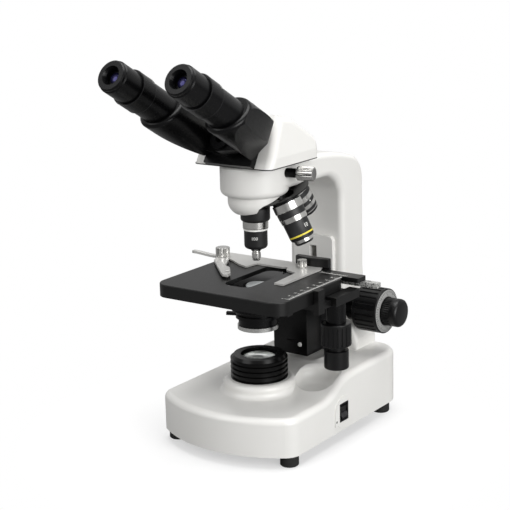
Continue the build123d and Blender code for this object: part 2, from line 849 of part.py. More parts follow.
# Cone-shaped turret with four seats and threaded ports
with BuildPart() as turret:
    spin(turret_plane, [(0, turret_start), (turret_radius, turret_start), (turret_radius, cone_height(turret_radius)),
                        (turret_nose_radius, cone_height(turret_nose_radius)), (0, cone_height(turret_nose_radius))])
    for plane in port_planes:
        disc(plane, boss_radius, seat_distance - 2 * boss_height, seat_distance)
    disc(turret_plane, pivot_head_radius + seat_gap, turret_end, turret_end + turret_radius, Mode.SUBTRACT)
    disc(turret_plane, pivot_radius + run_fit, turret_start - 1, turret_end + 1, Mode.SUBTRACT)
    for plane in port_planes:
        disc(plane, port_radius, turret_start - turret_thickness, seat_distance + boss_height, Mode.SUBTRACT)
save(turret, "turret")

# Objectives, as (radius, distance below the seat) outlines from the collar to the nose
objective_outlines = {
    "100x": [(13.5, 0), (13.5, 10.5), (12.4, 12), (11.7, 12), (11.7, 18.7), (11.2, 19), (11.2, 20.3), (10.7, 20.6),
             (10.7, 34.5), (8.8, 37.3), (4.4, 38.5), (4.4, 42.5), (3.6, 43.5), (3.6, objective_reach)],
    "10x": [(13.7, 0), (13.7, 7.8), (13, 8), (12.8, 13.7), (12.5, 14), (12.3, 18.6), (11.5, 18.9), (11.3, 33),
            (10.6, 35.8), (9.2, 36.1), (9, 39), (7, 41)],
    "4x": [(13.2, 0), (13.2, 3), (12.7, 3.3), (12.7, 8), (12.2, 8.3), (12.2, 13), (11.8, 13.3), (11.8, 17), (11.4, 17.3),
           (11.2, 21), (10.8, 21.3), (10.6, 26), (9, 28)],
}
front_planes = {}
for name, plane in objective_planes.items():
    outline = objective_outlines[name]
    nose = seat_distance + outline[-1][1]
    front_planes[name] = plane.offset(nose)
    with BuildPart() as objective:
        body = [(radius, seat_distance + drop) for radius, drop in outline]
        spin(plane, [(0, seat_distance - thread_length), (thread_radius, seat_distance - thread_length),
                     (thread_radius, seat_distance)] + body + [(0, nose)])
        disc(plane, light_bore_radius, seat_distance - thread_length, seat_distance + thread_length, Mode.SUBTRACT)
        disc(front_planes[name], front_lens_radius + glass_fit, -front_lens_depth, 0, Mode.SUBTRACT)
    save(objective, f"objective_{name}")

# Screw cap that closes the fourth port
with BuildPart() as port_cap:
    disc(cap_plane, thread_radius, seat_distance - thread_length, seat_distance)
    disc(cap_plane, boss_radius, seat_distance, seat_distance + cap_length)
    fillet(port_cap.faces().sort_by(Axis(cap_plane.origin, cap_plane.z_dir))[-1].edges(), cap_length / 3)
save(port_cap, "port_cap")

# Front lenses of the objectives
with BuildPart() as objective_lenses:
    for plane in front_planes.values():
        disc(plane, front_lens_radius, -front_lens_depth, -front_lens_depth / 4)
save(objective_lenses, "objective_lenses")

# Head shell: wedge with a sloped front face
head_top = head_bottom + head_front_height
slope = tan(radians(tube_tilt))


def head_profile(wall):
    """Side profile of the head, drawn in by a wall."""
    lift = wall / cos(radians(tube_tilt))
    front = -head_front + lift + wall * slope
    crest = head_top - wall
    Polyline(
        (front, head_bottom + wall),
        (front + (crest - head_bottom - wall) * slope, crest),
        (head_crown_back, crest - wall - head_crown_drop),
        (head_back - wall, head_bottom + head_back_height),
        (head_back - wall, head_bottom + wall),
        close=True,
    )


with BuildPart() as head_shell:
    with BuildSketch(Plane.YZ):
        with BuildLine():
            head_profile(0)
        make_face()
    extrude(amount=head_half_width, both=True)
    with BuildSketch(Plane.XZ):
        with BuildLine():
            Polyline(
                (-head_half_width, head_bottom),
                (head_half_width, head_bottom),
                (head_half_width, head_bottom + head_back_height / 2),
                (head_top_half_width, head_top),
                (-head_top_half_width, head_top),
                (-head_half_width, head_bottom + head_back_height / 2),
                close=True,
            )
        make_face()
    extrude(amount=2 * head_front, both=True, mode=Mode.INTERSECT)
    fillet(head_shell.edges().filter_by(Axis.X).filter_by(lambda e: e.center().Y > 0 and e.center().Z > head_bottom + 1),
           head_back_round)
    fillet(head_shell.edges().filter_by(lambda e: abs(e.center().X) > head_top_half_width - 1
                                        and e.center().Z > head_bottom + 1), head_edge_round)
    with BuildSketch(Plane.YZ):
        with BuildLine():
            head_profile(head_wall)
        make_face()
    extrude(amount=head_top_half_width - head_wall, both=True, mode=Mode.SUBTRACT)
    disc(Plane.XY, dovetail_bore_radius, head_bottom - 1, head_bottom + 2 * head_wall, Mode.SUBTRACT)
    with BuildSketch(pivot_plane.offset(-hub_plate_thickness)):
        Rectangle(2 * hub_plate_half_width, 2 * pivot_up_face)
    extrude(amount=2 * hub_plate_thickness, mode=Mode.SUBTRACT)
    disc(pivot_plane, light_bore_radius, -hub_plate_thickness - 2 * head_wall, hub_plate_thickness, Mode.SUBTRACT)
save(head_shell, "head_shell")

# Round dovetail under the head
dovetail_bottom = limb_top - socket_depth + seat_gap
with BuildPart() as head_dovetail:
    spin(Plane.XY, [
        (dovetail_bore_radius, dovetail_bottom),
        (dovetail_bottom_radius, dovetail_bottom),
        (dovetail_bottom_radius, dovetail_bottom + 2),
        (dovetail_top_radius, head_bottom - 2),
        (dovetail_top_radius, head_bottom),
        (dovetail_bore_radius, head_bottom),
    ])
save(head_dovetail, "head_dovetail")

# Deflecting prism on the floor of the head
with BuildPart() as head_prism:
    with BuildSketch(Plane.YZ):
        with BuildLine():
            Polyline(
                (-dovetail_bore_radius, head_bottom + head_wall),
                (dovetail_bore_radius + 2, head_bottom + head_wall),
                (dovetail_bore_radius + 2, head_bottom + head_wall + dovetail_bore_radius / 2),
                (-dovetail_bore_radius / 3, head_bottom + head_wall + dovetail_bore_radius * 2),
                close=True,
            )
        make_face()
    extrude(amount=dovetail_bore_radius + 2, both=True)
save(head_prism, "head_prism")

# Black plate in the sloped face with the axle of the two swinging housings
stack_top = 2 * hub_thickness + 3 * seat_gap
with BuildPart() as swing_hub:
    with BuildSketch(pivot_plane.offset(-hub_plate_thickness)):
        Rectangle(2 * hub_plate_half_width - seat_gap, 2 * pivot_up_face - seat_gap)
    extrude(amount=hub_plate_thickness)
    block((-head_half_width, head_half_width), (-2 * head_front, head_back), (limb_bottom, head_bottom), Mode.SUBTRACT)
    disc(pivot_plane, axle_radius, 0, stack_top)
    disc(pivot_plane, axle_cap_radius, stack_top, stack_top + axle_cap)
    disc(pivot_plane, axle_radius - 2, -hub_plate_thickness, stack_top + axle_cap, Mode.SUBTRACT)
save(swing_hub, "swing_hub")

# Swinging prism housings with their eye tubes, and what each carries
sleeve_end = tube_end + diopter_length
facet_angle = atan2(housing_radius - facet_reach, flange_middle)
tube_start = flange_middle * (tube_radius - facet_reach) / (housing_radius - facet_reach) + seat_gap
eye_offset = eye_spacing / 2
layer = {"left": seat_gap, "right": hub_thickness + 2 * seat_gap}
for side, sign in (("left", -1), ("right", 1)):
    tube_plane = Plane(
        origin=pivot_plane.from_local_coords((sign * eye_offset, tube_above_pivot, 0)),
        x_dir=pivot_plane.x_dir,
        z_dir=pivot_plane.z_dir,
    )
    prism_half = tube_prism_size / 2
    slant = radians(flange_slant)
    slant_plane = Plane(
        origin=tube_plane.from_local_coords((0, 0, flange_middle)),
        x_dir=tube_plane.x_dir,
        z_dir=tube_plane.z_dir * cos(slant) + tube_plane.y_dir * sin(slant),
    )
    with BuildPart() as housing:
        with BuildSketch(Plane(origin=tube_plane.origin, x_dir=tube_plane.x_dir, z_dir=-tube_plane.y_dir)):
            with BuildLine():
                rear_edge = (housing_radius, seat_gap + housing_rear_round)
                rear_rim = (housing_radius - housing_rear_round, seat_gap)
                Polyline(rear_rim, (0, seat_gap), (0, tube_end), (housing_radius, tube_end), rear_edge)
                TangentArc(rear_edge, rear_rim, tangent=(0, -1))
            make_face()
        revolve(axis=Axis(tube_plane.origin, tube_plane.z_dir))
        with BuildSketch(slant_plane):
            Rectangle(6 * housing_radius, 6 * housing_radius)
        extrude(amount=tube_end, mode=Mode.SUBTRACT)
        fillet(housing.faces().sort_by(Axis(slant_plane.origin, slant_plane.z_dir))[-1].edges(), flange_round)
        with BuildSketch(pivot_plane.offset(layer[side])):
            Circle(hub_radius)
            with Locations((sign * eye_offset, tube_above_pivot)):
                Circle(hub_arm_radius)
            make_hull()
        extrude(amount=hub_thickness)
        for turn in facet_turns:
            outward = tube_plane.x_dir * (sign * cos(radians(turn))) - tube_plane.y_dir * sin(radians(turn))
            facet_plane = Plane(
                origin=tube_plane.origin + outward * facet_reach,
                x_dir=tube_plane.z_dir.cross(outward),
                z_dir=outward * cos(facet_angle) - tube_plane.z_dir * sin(facet_angle),
            )
            with BuildSketch(facet_plane):
                Rectangle(4 * housing_radius, 4 * flange_middle)
            extrude(amount=2 * housing_radius, mode=Mode.SUBTRACT)
        disc(tube_plane, tube_radius, tube_start, tube_end)
        disc(tube_plane, sleeve_radius, tube_end, sleeve_end)
        disc(tube_plane, barrel_radius + run_fit, sleeve_end - barrel_length - 1, sleeve_end, Mode.SUBTRACT)
        disc(tube_plane, light_bore_radius, prism_start, sleeve_end, Mode.SUBTRACT)
        with BuildSketch(tube_plane.offset(prism_start)):
            Rectangle(tube_prism_size, tube_prism_size)
        extrude(amount=tube_prism_depth, mode=Mode.SUBTRACT)
        disc(pivot_plane, axle_radius + run_fit, 0, stack_top, Mode.SUBTRACT)
    save(housing, f"{side}_prism_housing")

    with BuildPart() as tube_prism:
        with BuildSketch(tube_plane.offset(prism_start)):
            Rectangle(tube_prism_size - seat_gap, tube_prism_size - seat_gap)
        extrude(amount=tube_prism_depth - seat_gap)
        chamfer(tube_prism.edges().sort_by(Axis(tube_plane.origin, tube_plane.z_dir))[-1], 2)
    save(tube_prism, f"{side}_tube_prism")

    with BuildPart() as diopter:
        disc(tube_plane, diopter_radius, tube_end + seat_gap, sleeve_end - seat_gap)
        fillet(diopter.edges(), 0.8)
        disc(tube_plane, sleeve_radius + run_fit, tube_end, sleeve_end, Mode.SUBTRACT)
    save(diopter, f"{side}_diopter_ring")

    eye_top = sleeve_end + eyepiece_length
    with BuildPart() as eyepiece:
        spin(tube_plane, [
            (0, sleeve_end - barrel_length),
            (barrel_radius, sleeve_end - barrel_length),
            (barrel_radius, sleeve_end),
            (eyepiece_radius, sleeve_end),
            (eyepiece_radius, eye_top - eyepiece_rim),
            (eyepiece_rim_radius, eye_top - eyepiece_rim + 1),
            (eyepiece_rim_radius, eye_top - 1),
            (eyepiece_rim_radius - 1, eye_top),
            (0, eye_top),
        ])
        disc(tube_plane, light_bore_radius, sleeve_end - barrel_length, eye_top - 2 * eye_recess, Mode.SUBTRACT)
        spin(tube_plane, [
            (0, eye_top - 2 * eye_recess),
            (eye_lens_radius + glass_fit, eye_top - 2 * eye_recess),
            (eye_lens_radius + glass_fit, eye_top - eye_recess),
            (eye_lens_radius + eye_recess / 2, eye_top),
            (0, eye_top),
        ], Mode.SUBTRACT)
    save(eyepiece, f"{side}_eyepiece")

    with BuildPart() as eye_lens:
        lens_base = eye_top - 2 * eye_recess
        disc(tube_plane, eye_lens_radius, lens_base - eye_recess / 2, lens_base + eye_recess)
        disc(tube_plane, 2 * eye_lens_radius, lens_base - eye_recess / 2, lens_base, Mode.SUBTRACT)
        fillet(eye_lens.edges().sort_by(Axis(tube_plane.origin, tube_plane.z_dir))[-1], eye_recess / 2)
    save(eye_lens, f"{side}_eye_lens")

# Thumbscrew that locks the head
with BuildPart() as head_lock_screw:
    disc(lock_plane, lock_stem_radius, socket_radius + seat_gap, lock_knob_start)
    disc(lock_plane, lock_knob_radius, lock_knob_start, lock_knob_start + lock_knob_length)
    fillet(head_lock_screw.edges().filter_by(GeomType.CIRCLE).filter_by(lambda e: e.radius > lock_stem_radius), 1)
save(head_lock_screw, "head_lock_screw")

# Focus block that rides on the guide
with BuildPart() as focus_block:
    with BuildSketch(Plane.XY.offset(block_bottom)):
        with BuildLine():
            inner = guide_half_width + 2 * run_fit
            Polyline(
                (0, block_front),
                (block_half_width, block_front),
                (block_half_width, cheek_start - cheek_taper),
                (cheek_half_width, cheek_start),
                (cheek_half_width, arm_front - seat_gap),
                (inner, arm_front - seat_gap),
                (inner, guide_front - run_fit),
                (0, guide_front - run_fit),
                close=True,
            )
        make_face()
        mirror(about=Plane.YZ)
    extrude(amount=block_top - block_bottom)
    block((-tongue_half_width - run_fit, tongue_half_width + run_fit),
          (block_front, block_front + tongue_depth + run_fit), (tongue_bottom - fine_room, block_top), Mode.SUBTRACT)
save(focus_block, "focus_block")

# Rack on the back of the block
rack_back = knob_y - pinion_radius - seat_gap / 2
with BuildPart() as focus_rack:
    block((-rack_half_width, rack_half_width), (guide_front - run_fit, rack_back), (rack_bottom, rack_top))
save(focus_rack, "focus_rack")

# Hollow coarse shaft with its pinion
with BuildPart() as coarse_shaft:
    disc(knob_plane, coarse_shaft_radius, -coarse_end, coarse_end)
    disc(knob_plane, pinion_radius, -pinion_length / 2, pinion_length / 2)
    disc(knob_plane, fine_shaft_radius + run_fit, -coarse_end, coarse_end, Mode.SUBTRACT)
save(coarse_shaft, "coarse_shaft")

# Ribbed coarse knobs
with BuildPart() as coarse_knobs:
    for side in (-1, 1):
        disc(knob_plane, coarse_radius, side * coarse_start, side * coarse_end)
    fillet(coarse_knobs.edges(), 1)
    for side in (-1, 1):
        with BuildSketch(knob_plane.offset(side * (coarse_start + coarse_land))):
            with PolarLocations(coarse_radius + coarse_rib_half_width - coarse_rib_depth, coarse_rib_count):
                Circle(coarse_rib_half_width)
        extrude(amount=side * (coarse_end - coarse_start - 2 * coarse_land), mode=Mode.SUBTRACT)
    disc(knob_plane, coarse_shaft_radius, -coarse_end, coarse_end, Mode.SUBTRACT)
save(coarse_knobs, "coarse_knobs")

# Fine shaft through the coarse shaft
with BuildPart() as fine_shaft:
    disc(knob_plane, fine_shaft_radius, -fine_end + fine_round, fine_end - fine_round)
save(fine_shaft, "fine_shaft")

# Fine knobs
with BuildPart() as fine_knobs:
    for side in (-1, 1):
        disc(knob_plane, fine_radius, side * fine_start, side * fine_end)
    fillet(fine_knobs.edges().filter_by(lambda e: abs(e.center().X) > fine_end - 1), fine_round)
    disc(knob_plane, fine_shaft_radius, -fine_end + fine_round, fine_end - fine_round, Mode.SUBTRACT)
save(fine_knobs, "fine_knobs")

# Bracket between focus block and stage, with a tongue in the block's groove
with BuildPart() as stage_bracket:
    block((-bracket_half_width, bracket_half_width), (bracket_front, bracket_back),
          (block_top + fine_room, carrier_bottom))
    block((-tongue_half_width, tongue_half_width), (block_front + run_fit, block_front + tongue_depth),
          (tongue_bottom, block_top + fine_room))
save(stage_bracket, "stage_bracket")

# Lower stage plate with rails, side wing and pointer
with BuildPart() as stage_carrier:
    block((-carrier_half_width, carrier_half_width), (-carrier_front, carrier_back), (carrier_bottom, carrier_top))
    block((carrier_half_width, pointer_outer), (-wing_front, wing_back), (carrier_bottom, carrier_top))
    fillet(stage_carrier.edges().filter_by(Axis.Z), rail_half_width)
    block((pointer_inner, wing_plate_edge), (wing_plate_front, wing_back), (carrier_bottom, carrier_top + wing_plate_rise))
    for side in (-1, 1):
        block((side * rail_x - rail_half_width, side * rail_x + rail_half_width), (-carrier_front, rail_back),
              (carrier_top, plate_bottom - run_fit))
    block((pointer_inner, pointer_outer), (-wing_front, pointer_back),
          (carrier_bottom - pointer_drop, stage_top + pointer_rise))
    disc(Plane.XY, condenser_hole_radius, carrier_bottom, carrier_top, Mode.SUBTRACT)
    disc(at(drive_x, drive_y), length_shaft_radius + run_fit, carrier_bottom, carrier_top, Mode.SUBTRACT)
save(stage_carrier, "stage_carrier")

# Upper stage plate with its deep rim
with BuildPart() as stage_plate:
    with BuildSketch(Plane.XY.offset(rim_bottom)) as stage_plan:
        with Locations((0, (stage_back - stage_front) / 2)):
            Rectangle(2 * stage_half_width, stage_front + stage_back)
        fillet(stage_plan.vertices(), stage_corner)
    extrude(amount=rim_depth)
    fillet(stage_plate.edges().group_by(Axis.Z)[-1], 0.8)
    block((-stage_half_width + rim_width, stage_half_width - rim_width), (-stage_front + rim_width, 2 * stage_back),
          (rim_bottom, plate_bottom), Mode.SUBTRACT)
    for side in (-1, 1):
        block(sorted((side * (stage_half_width - corner_foot_size), side * (stage_half_width - 1))),
              (-stage_front + stage_corner - 2, -stage_front + stage_corner + rim_width),
              (rim_bottom - corner_foot_depth, plate_bottom))
    with BuildSketch(Plane.XY.offset(plate_bottom)):
        with Locations((0, (aperture_back - aperture_front) / 2)):
            RectangleRounded(2 * aperture_half_width, aperture_front + aperture_back, aperture_corner)
    extrude(amount=stage_plate_thickness, mode=Mode.SUBTRACT)
save(stage_plate, "stage_plate")

# Cross guide along the back of the upper plate
guide_bar_top = stage_top - seat_gap
guide_bar_bottom = guide_bar_top - guide_bar_height
guide_bar_back = stage_back + guide_bar_depth
with BuildPart() as cross_guide:
    block((-stage_half_width, guide_bar_end), (stage_back, guide_bar_back), (guide_bar_bottom, guide_bar_top))
    fillet(cross_guide.edges().filter_by(Axis.Z), 1.5)
save(cross_guide, "cross_guide")

# Carriage that runs along the cross guide
web_front = guide_bar_back + seat_gap
with BuildPart() as holder_carriage:
    block((carriage_left, carriage_right), (web_front, carriage_back),
          (guide_bar_bottom - seat_gap - cross_rack_height, holder_top + carriage_height))
    with BuildSketch(Plane.XY.offset(holder_top)):
        with BuildLine():
            Polyline((carriage_left, carriage_front + 4), (carriage_left, carriage_back),
                     (carriage_right, carriage_back), (carriage_right, carriage_front + 4))
            ThreePointArc((carriage_right, carriage_front + 4), ((carriage_left + carriage_right) / 2, carriage_front),
                          (carriage_left, carriage_front + 4))
        make_face()
    extrude(amount=carriage_height)
    fillet(holder_carriage.edges().group_by(Axis.Z)[-1], 1)
save(holder_carriage, "holder_carriage")

# Rack bar below the cross guide
with BuildPart() as cross_rack:
    block((cross_rack_left, cross_rack_right), (cross_rack_front, web_front),
          (guide_bar_bottom - seat_gap - cross_rack_height, guide_bar_bottom - seat_gap))
save(cross_rack, "cross_rack")

# Sheet holder with its fixed right-hand jaw
with BuildPart() as specimen_holder:
    with BuildSketch(Plane.XY.offset(holder_bottom)):
        with BuildLine():
            Polyline(*holder_outline, close=True)
        make_face()
    extrude(amount=holder_thickness)
    for x, y in ((clamp_thumb_x, clamp_thumb_y), (finger_pivot_x, finger_pivot_y)):
        disc(at(x, y), thumb_stem_radius, holder_bottom, holder_top, Mode.SUBTRACT)
save(specimen_holder, "specimen_holder")

# Thumbscrews: one clamps the holder, the other is the finger's pivot
finger_bottom = holder_top + run_fit
finger_top = finger_bottom + finger_thickness
with BuildPart() as holder_screws:
    disc(at(clamp_thumb_x, clamp_thumb_y), thumb_stem_radius, holder_bottom, holder_top)
    disc(at(clamp_thumb_x, clamp_thumb_y), thumb_radius, holder_top, holder_top + thumb_height)
    disc(at(finger_pivot_x, finger_pivot_y), thumb_stem_radius, holder_bottom, finger_top + run_fit)
    disc(at(finger_pivot_x, finger_pivot_y), finger_thumb_radius, finger_top + run_fit,
         finger_top + run_fit + thumb_height)
    thumb_edges = holder_screws.edges().filter_by(GeomType.CIRCLE)
    fillet(thumb_edges.filter_by(lambda e: e.radius > thumb_stem_radius), 0.8)
save(holder_screws, "holder_screws")

# Sprung finger with its tail
with BuildPart() as holder_finger:
    with BuildSketch(Plane.XY.offset(finger_bottom)):
        with BuildLine():
            Polyline(*[(finger_pivot_x + x, finger_pivot_y + y) for x, y in finger_outline], close=True)
        make_face()
        with Locations((finger_pivot_x, finger_pivot_y)):
            Circle(finger_thumb_radius)
        with Locations((finger_pivot_x + finger_hole[0], finger_pivot_y + finger_hole[1])):
            Circle(finger_hole_radius, mode=Mode.SUBTRACT)
    extrude(amount=finger_thickness)
    tail_plane = Plane(origin=(finger_pivot_x, finger_pivot_y, (finger_bottom + finger_top) / 2),
                       x_dir=(0, 1, 0), z_dir=(-1, 0, 0))
    with BuildSketch(tail_plane.offset(finger_thumb_radius / 2)):
        Rectangle(2 * finger_tail_radius, finger_thickness)
    extrude(amount=finger_tail - finger_thumb_radius / 2)
    disc(at(finger_pivot_x, finger_pivot_y), thumb_stem_radius + run_fit, finger_bottom, finger_top, Mode.SUBTRACT)
save(holder_finger, "holder_finger")

# Tube that carries the two drive knobs
with BuildPart() as drive_tube:
    disc(at(drive_x, drive_y), drive_tube_radius, drive_tube_bottom, carrier_bottom)
    disc(at(drive_x, drive_y), length_shaft_radius + run_fit, drive_tube_bottom, carrier_bottom, Mode.SUBTRACT)
save(drive_tube, "drive_tube")

# Upper drive knob, for the lengthwise movement, on a hollow shaft
length_knob_top = drive_tube_bottom - seat_gap
length_knob_bottom = length_knob_top - length_knob_height
cross_knob_top = length_knob_bottom - drive_neck
cross_knob_bottom = cross_knob_top - cross_knob_height
with BuildPart() as length_knob:
    disc(at(drive_x, drive_y), length_knob_radius, length_knob_bottom, length_knob_top)
    fillet(length_knob.edges(), 0.8)
    with BuildSketch(Plane.XY.offset(length_knob_bottom + 1)):
        with Locations((drive_x, drive_y)):
            with PolarLocations(length_knob_radius + length_rib_half_width - length_rib_depth, length_knob_ribs):
                Circle(length_rib_half_width)
    extrude(amount=length_knob_top - length_knob_bottom - 2 * length_rib_half_width - 2, mode=Mode.SUBTRACT)
    disc(at(drive_x, drive_y), length_shaft_radius, length_knob_top, carrier_top)
    disc(at(drive_x, drive_y), drive_neck_radius, cross_knob_top + seat_gap, length_knob_bottom)
    disc(at(drive_x, drive_y), cross_shaft_radius + run_fit, cross_knob_top, carrier_top, Mode.SUBTRACT)
save(length_knob, "length_knob")

# Lower drive knob, for the crosswise movement
with BuildPart() as cross_knob:
    disc(at(drive_x, drive_y), cross_knob_radius, cross_knob_bottom, cross_knob_top)
    fillet(cross_knob.edges().group_by(Axis.Z)[0], cross_knob_round)
    disc(at(drive_x, drive_y), cross_shaft_radius, cross_knob_top, carrier_top)
save(cross_knob, "cross_knob")

# Condenser body with its filter pin
flange_bottom = ring_bottom - seat_gap - flange_thickness
with BuildPart() as condenser_body:
    spin(Plane.XY, [
        (filter_inner, condenser_bottom),
        (condenser_radius, condenser_bottom),
        (condenser_radius, flange_bottom),
        (flange_edge, flange_bottom),
        (flange_edge, flange_bottom + flange_thickness),
        (condenser_radius, flange_bottom + flange_thickness),
        (condenser_radius, condenser_shoulder),
        (condenser_cell_radius, condenser_shoulder),
        (condenser_cell_radius, condenser_top),
        (condenser_lens_radius + glass_fit, condenser_top),
        (condenser_lens_radius + glass_fit, condenser_top - condenser_lens_depth),
        (condenser_lens_radius - 1, condenser_top - condenser_lens_depth),
        (condenser_lens_radius - 1, condenser_top - 2 * condenser_lens_depth),
        (filter_inner, condenser_top - 2 * condenser_lens_depth),
    ])
    with BuildSketch(Plane.XY.offset(flange_bottom)):
        with Locations((0, (condenser_radius + filter_pin_y) / 2)):
            Rectangle(2 * filter_eye_radius, filter_pin_y - condenser_radius + 2)
        with Locations((0, filter_pin_y)):
            Circle(filter_eye_radius)
    extrude(amount=flange_thickness)
    disc(at(0, filter_pin_y), filter_pin_radius, filter_tip_bottom, flange_bottom)
    disc(at(0, filter_pin_y), filter_tip_radius, filter_tip_bottom, filter_bottom - seat_gap)
save(condenser_body, "condenser_body")

# Knurled ring that screws the condenser up and down
with BuildPart() as condenser_ring:
    disc(Plane.XY, ring_radius, ring_bottom, ring_top)
    fillet(condenser_ring.edges(), 0.8)
    with BuildSketch(Plane.XY.offset(ring_bottom + 1)):
        with PolarLocations(ring_radius + ring_knurl_radius / 3, ring_knurls):
            Circle(ring_knurl_radius)
    extrude(amount=ring_top - ring_bottom - 2, mode=Mode.SUBTRACT)
    disc(Plane.XY, condenser_radius + seat_gap, ring_bottom, ring_top, Mode.SUBTRACT)
save(condenser_ring, "condenser_ring")

# Condenser top lens
with BuildPart() as condenser_lens:
    disc(Plane.XY, condenser_lens_radius, condenser_top - condenser_lens_depth, condenser_top + condenser_lens_crown)
    fillet(condenser_lens.edges().group_by(Axis.Z)[-1], condenser_lens_crown)
save(condenser_lens, "condenser_lens")

# Iris ring with its lever
with BuildPart() as iris_lever:
    with BuildSketch(Plane.XY.offset(iris_bottom)):
        Circle(iris_ring_radius)
        with Locations(Rotation(0, 0, iris_lever_angle)):
            with Locations(((condenser_radius + iris_lever_reach) / 2, 0)):
                Rectangle(iris_lever_reach - condenser_radius, 2 * iris_lever_half_width)
        Circle(condenser_radius + run_fit, mode=Mode.SUBTRACT)
    extrude(amount=iris_top - iris_bottom)
save(iris_lever, "iris_lever")

# Swing-out filter holder on the condenser's pin
with BuildPart() as filter_holder:
    with BuildSketch(Plane.XY.offset(filter_bottom)):
        Circle(filter_outer)
        with Locations((0, filter_pin_y)):
            Circle(filter_eye_radius)
        with Locations((0, (filter_outer + filter_pin_y) / 2)):
            Rectangle(2 * filter_eye_radius, filter_pin_y - filter_outer + 2)
        Circle(filter_inner, mode=Mode.SUBTRACT)
        with Locations((0, filter_pin_y)):
            Circle(filter_pin_radius + run_fit, mode=Mode.SUBTRACT)
    extrude(amount=filter_top - filter_bottom)
save(filter_holder, "filter_holder")
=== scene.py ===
# Binocular compound microscope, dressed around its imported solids.
# Sizes are in millimetres unless multiplied by MM, which makes them the metres that Blender uses.
import json
import math

import bmesh
import bpy
from mathutils import Matrix, Vector


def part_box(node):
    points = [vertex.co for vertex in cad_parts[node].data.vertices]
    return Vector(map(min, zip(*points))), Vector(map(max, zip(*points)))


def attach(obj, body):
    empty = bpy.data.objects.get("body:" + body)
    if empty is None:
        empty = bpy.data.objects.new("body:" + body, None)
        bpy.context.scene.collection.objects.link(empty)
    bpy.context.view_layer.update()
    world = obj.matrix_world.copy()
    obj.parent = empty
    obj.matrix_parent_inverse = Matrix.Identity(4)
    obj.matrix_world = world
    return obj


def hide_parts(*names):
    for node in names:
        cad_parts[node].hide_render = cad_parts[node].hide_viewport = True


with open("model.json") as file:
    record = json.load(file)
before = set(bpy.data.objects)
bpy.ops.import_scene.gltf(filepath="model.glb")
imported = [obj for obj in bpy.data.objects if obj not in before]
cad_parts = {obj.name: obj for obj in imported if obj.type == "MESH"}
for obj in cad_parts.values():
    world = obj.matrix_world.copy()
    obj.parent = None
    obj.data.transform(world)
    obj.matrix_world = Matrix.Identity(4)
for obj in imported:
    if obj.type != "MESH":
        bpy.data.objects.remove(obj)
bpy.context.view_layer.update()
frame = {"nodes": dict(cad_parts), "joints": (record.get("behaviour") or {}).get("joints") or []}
joints = {joint["name"]: joint for joint in frame["joints"]}
MM = 0.001

# Camera: angles in degrees, place in millimetres, focal length in picture widths
camera_azimuth = 35.902
camera_pitch = 14.099
camera_roll = -1.516
camera_place = (696.93, -964.78, 473.57)
camera_focal = 1346.39 / 510
sensor_width = 36

# Lathe work: a band that reaches past the end of any piece
all_heights = 999

# Objectives: distance of their shoulder from the turret's centre, and how far their numerals stand out
shoulder = 70
engraving_lift = 0.03

# Head lock screw: places along its axis
lock_grip_radius = 6.4
lock_grip_start = 42.6
lock_grip_end = 57.4

# Painted shade band in the seam under the head
shade_band_proud = 0.15
shade_band_height = 0.7
head_corner = 7

# Specimen holder: thumbscrews, and where the finger's bend starts and ends, measured from its pivot
thumbscrew_height = 8.2
thumbscrew_radius = 6.9
thumbscrew_gap = 0.3
finger_bend_start = 10
finger_bend_end = 34
clamp_spot = (20, 45)
clamp_radius = 4.6

# Focus knobs: graduated rings, and fine grips along the knobs' axis
scale_divisions = 50
scale_rim = 19.8
scale_number_radius = 15.4
fine_grip_radius = 13.4
fine_grip_start = 77
fine_grip_end = 86.5

# Stage scales
scale_x = 66.6
scale_start = -46
scale_length = 86
cross_start = -20
cross_length = 88
cross_y = 45.5
mark_step = 2
long_mark_step = 10
mark_lift = 0.12

# Small details of the stand
cover_screw_spot = (11, 76.5)
fuse_hole_spot = (15.5, 22.2)
rocker_lean = 2.4
rocker_highlight_thickness = 1.2

# Eye tubes: heights along each tube's axis from the head's sloped face
tube_radius = 15.2
housing_radius = 20
set_screw_height = 47
tube_end = 93
sleeve_end = 110.5
lens_seat = 126
lens_seat_radius = 7.9
lens_radius = 5
lens_dome = 2.2
diopter_radius = 16.2
setting_angle = 68
set_screw_angles = (55, 125)

# Surroundings: floor in metres, strengths of the white room as a light and in reflections
floor_radius = 6
room_light = 0.34
room_mirror = 0.35
lamp_target = (0, 0, 0.18)


def linear(code):
    """sRGB hex to linear colour."""
    parts = [int(code[i:i + 2], 16) / 255 for i in (1, 3, 5)]
    return [p / 12.92 if p <= 0.04045 else ((p + 0.055) / 1.055) ** 2.4 for p in parts] + [1]


def add(tree, kind, inputs=None, **settings):
    """Adds a node with its settings, and sets or links its inputs."""
    node = tree.nodes.new(kind)
    for name, value in settings.items():
        setattr(node, name, value)
    for socket, value in (inputs or {}).items():
        if isinstance(value, bpy.types.NodeSocket):
            tree.links.new(value, node.inputs[socket])
        else:
            node.inputs[socket].default_value = value
    return node


def blank(name):
    """A new material, its empty node tree and its output."""
    made = bpy.data.materials.new(name)
    made.use_nodes = True
    made.node_tree.nodes.clear()
    return made, made.node_tree, add(made.node_tree, "ShaderNodeOutputMaterial")


def grit(tree, size, detail=2):
    """Noise on Object coordinates with features of a size in millimetres."""
    place = add(tree, "ShaderNodeTexCoord").outputs["Object"]
    return add(tree, "ShaderNodeTexNoise", {"Vector": place, "Scale": 1 / (size * MM),
                                            "Detail": detail}).outputs["Fac"]


def spread(tree, value, low, high, start=0.3, end=0.7):
    """A 0 to 1 value spread between two numbers."""
    return add(tree, "ShaderNodeMapRange", {"Value": value, "From Min": start, "From Max": end,
                                            "To Min": low, "To Max": high}).outputs["Result"]


def tinted(tree, value, first, second):
    """A colour between two hex values."""
    return add(tree, "ShaderNodeMix", {"Factor": value, 6: linear(first), 7: linear(second)},
               data_type="RGBA").outputs[2]


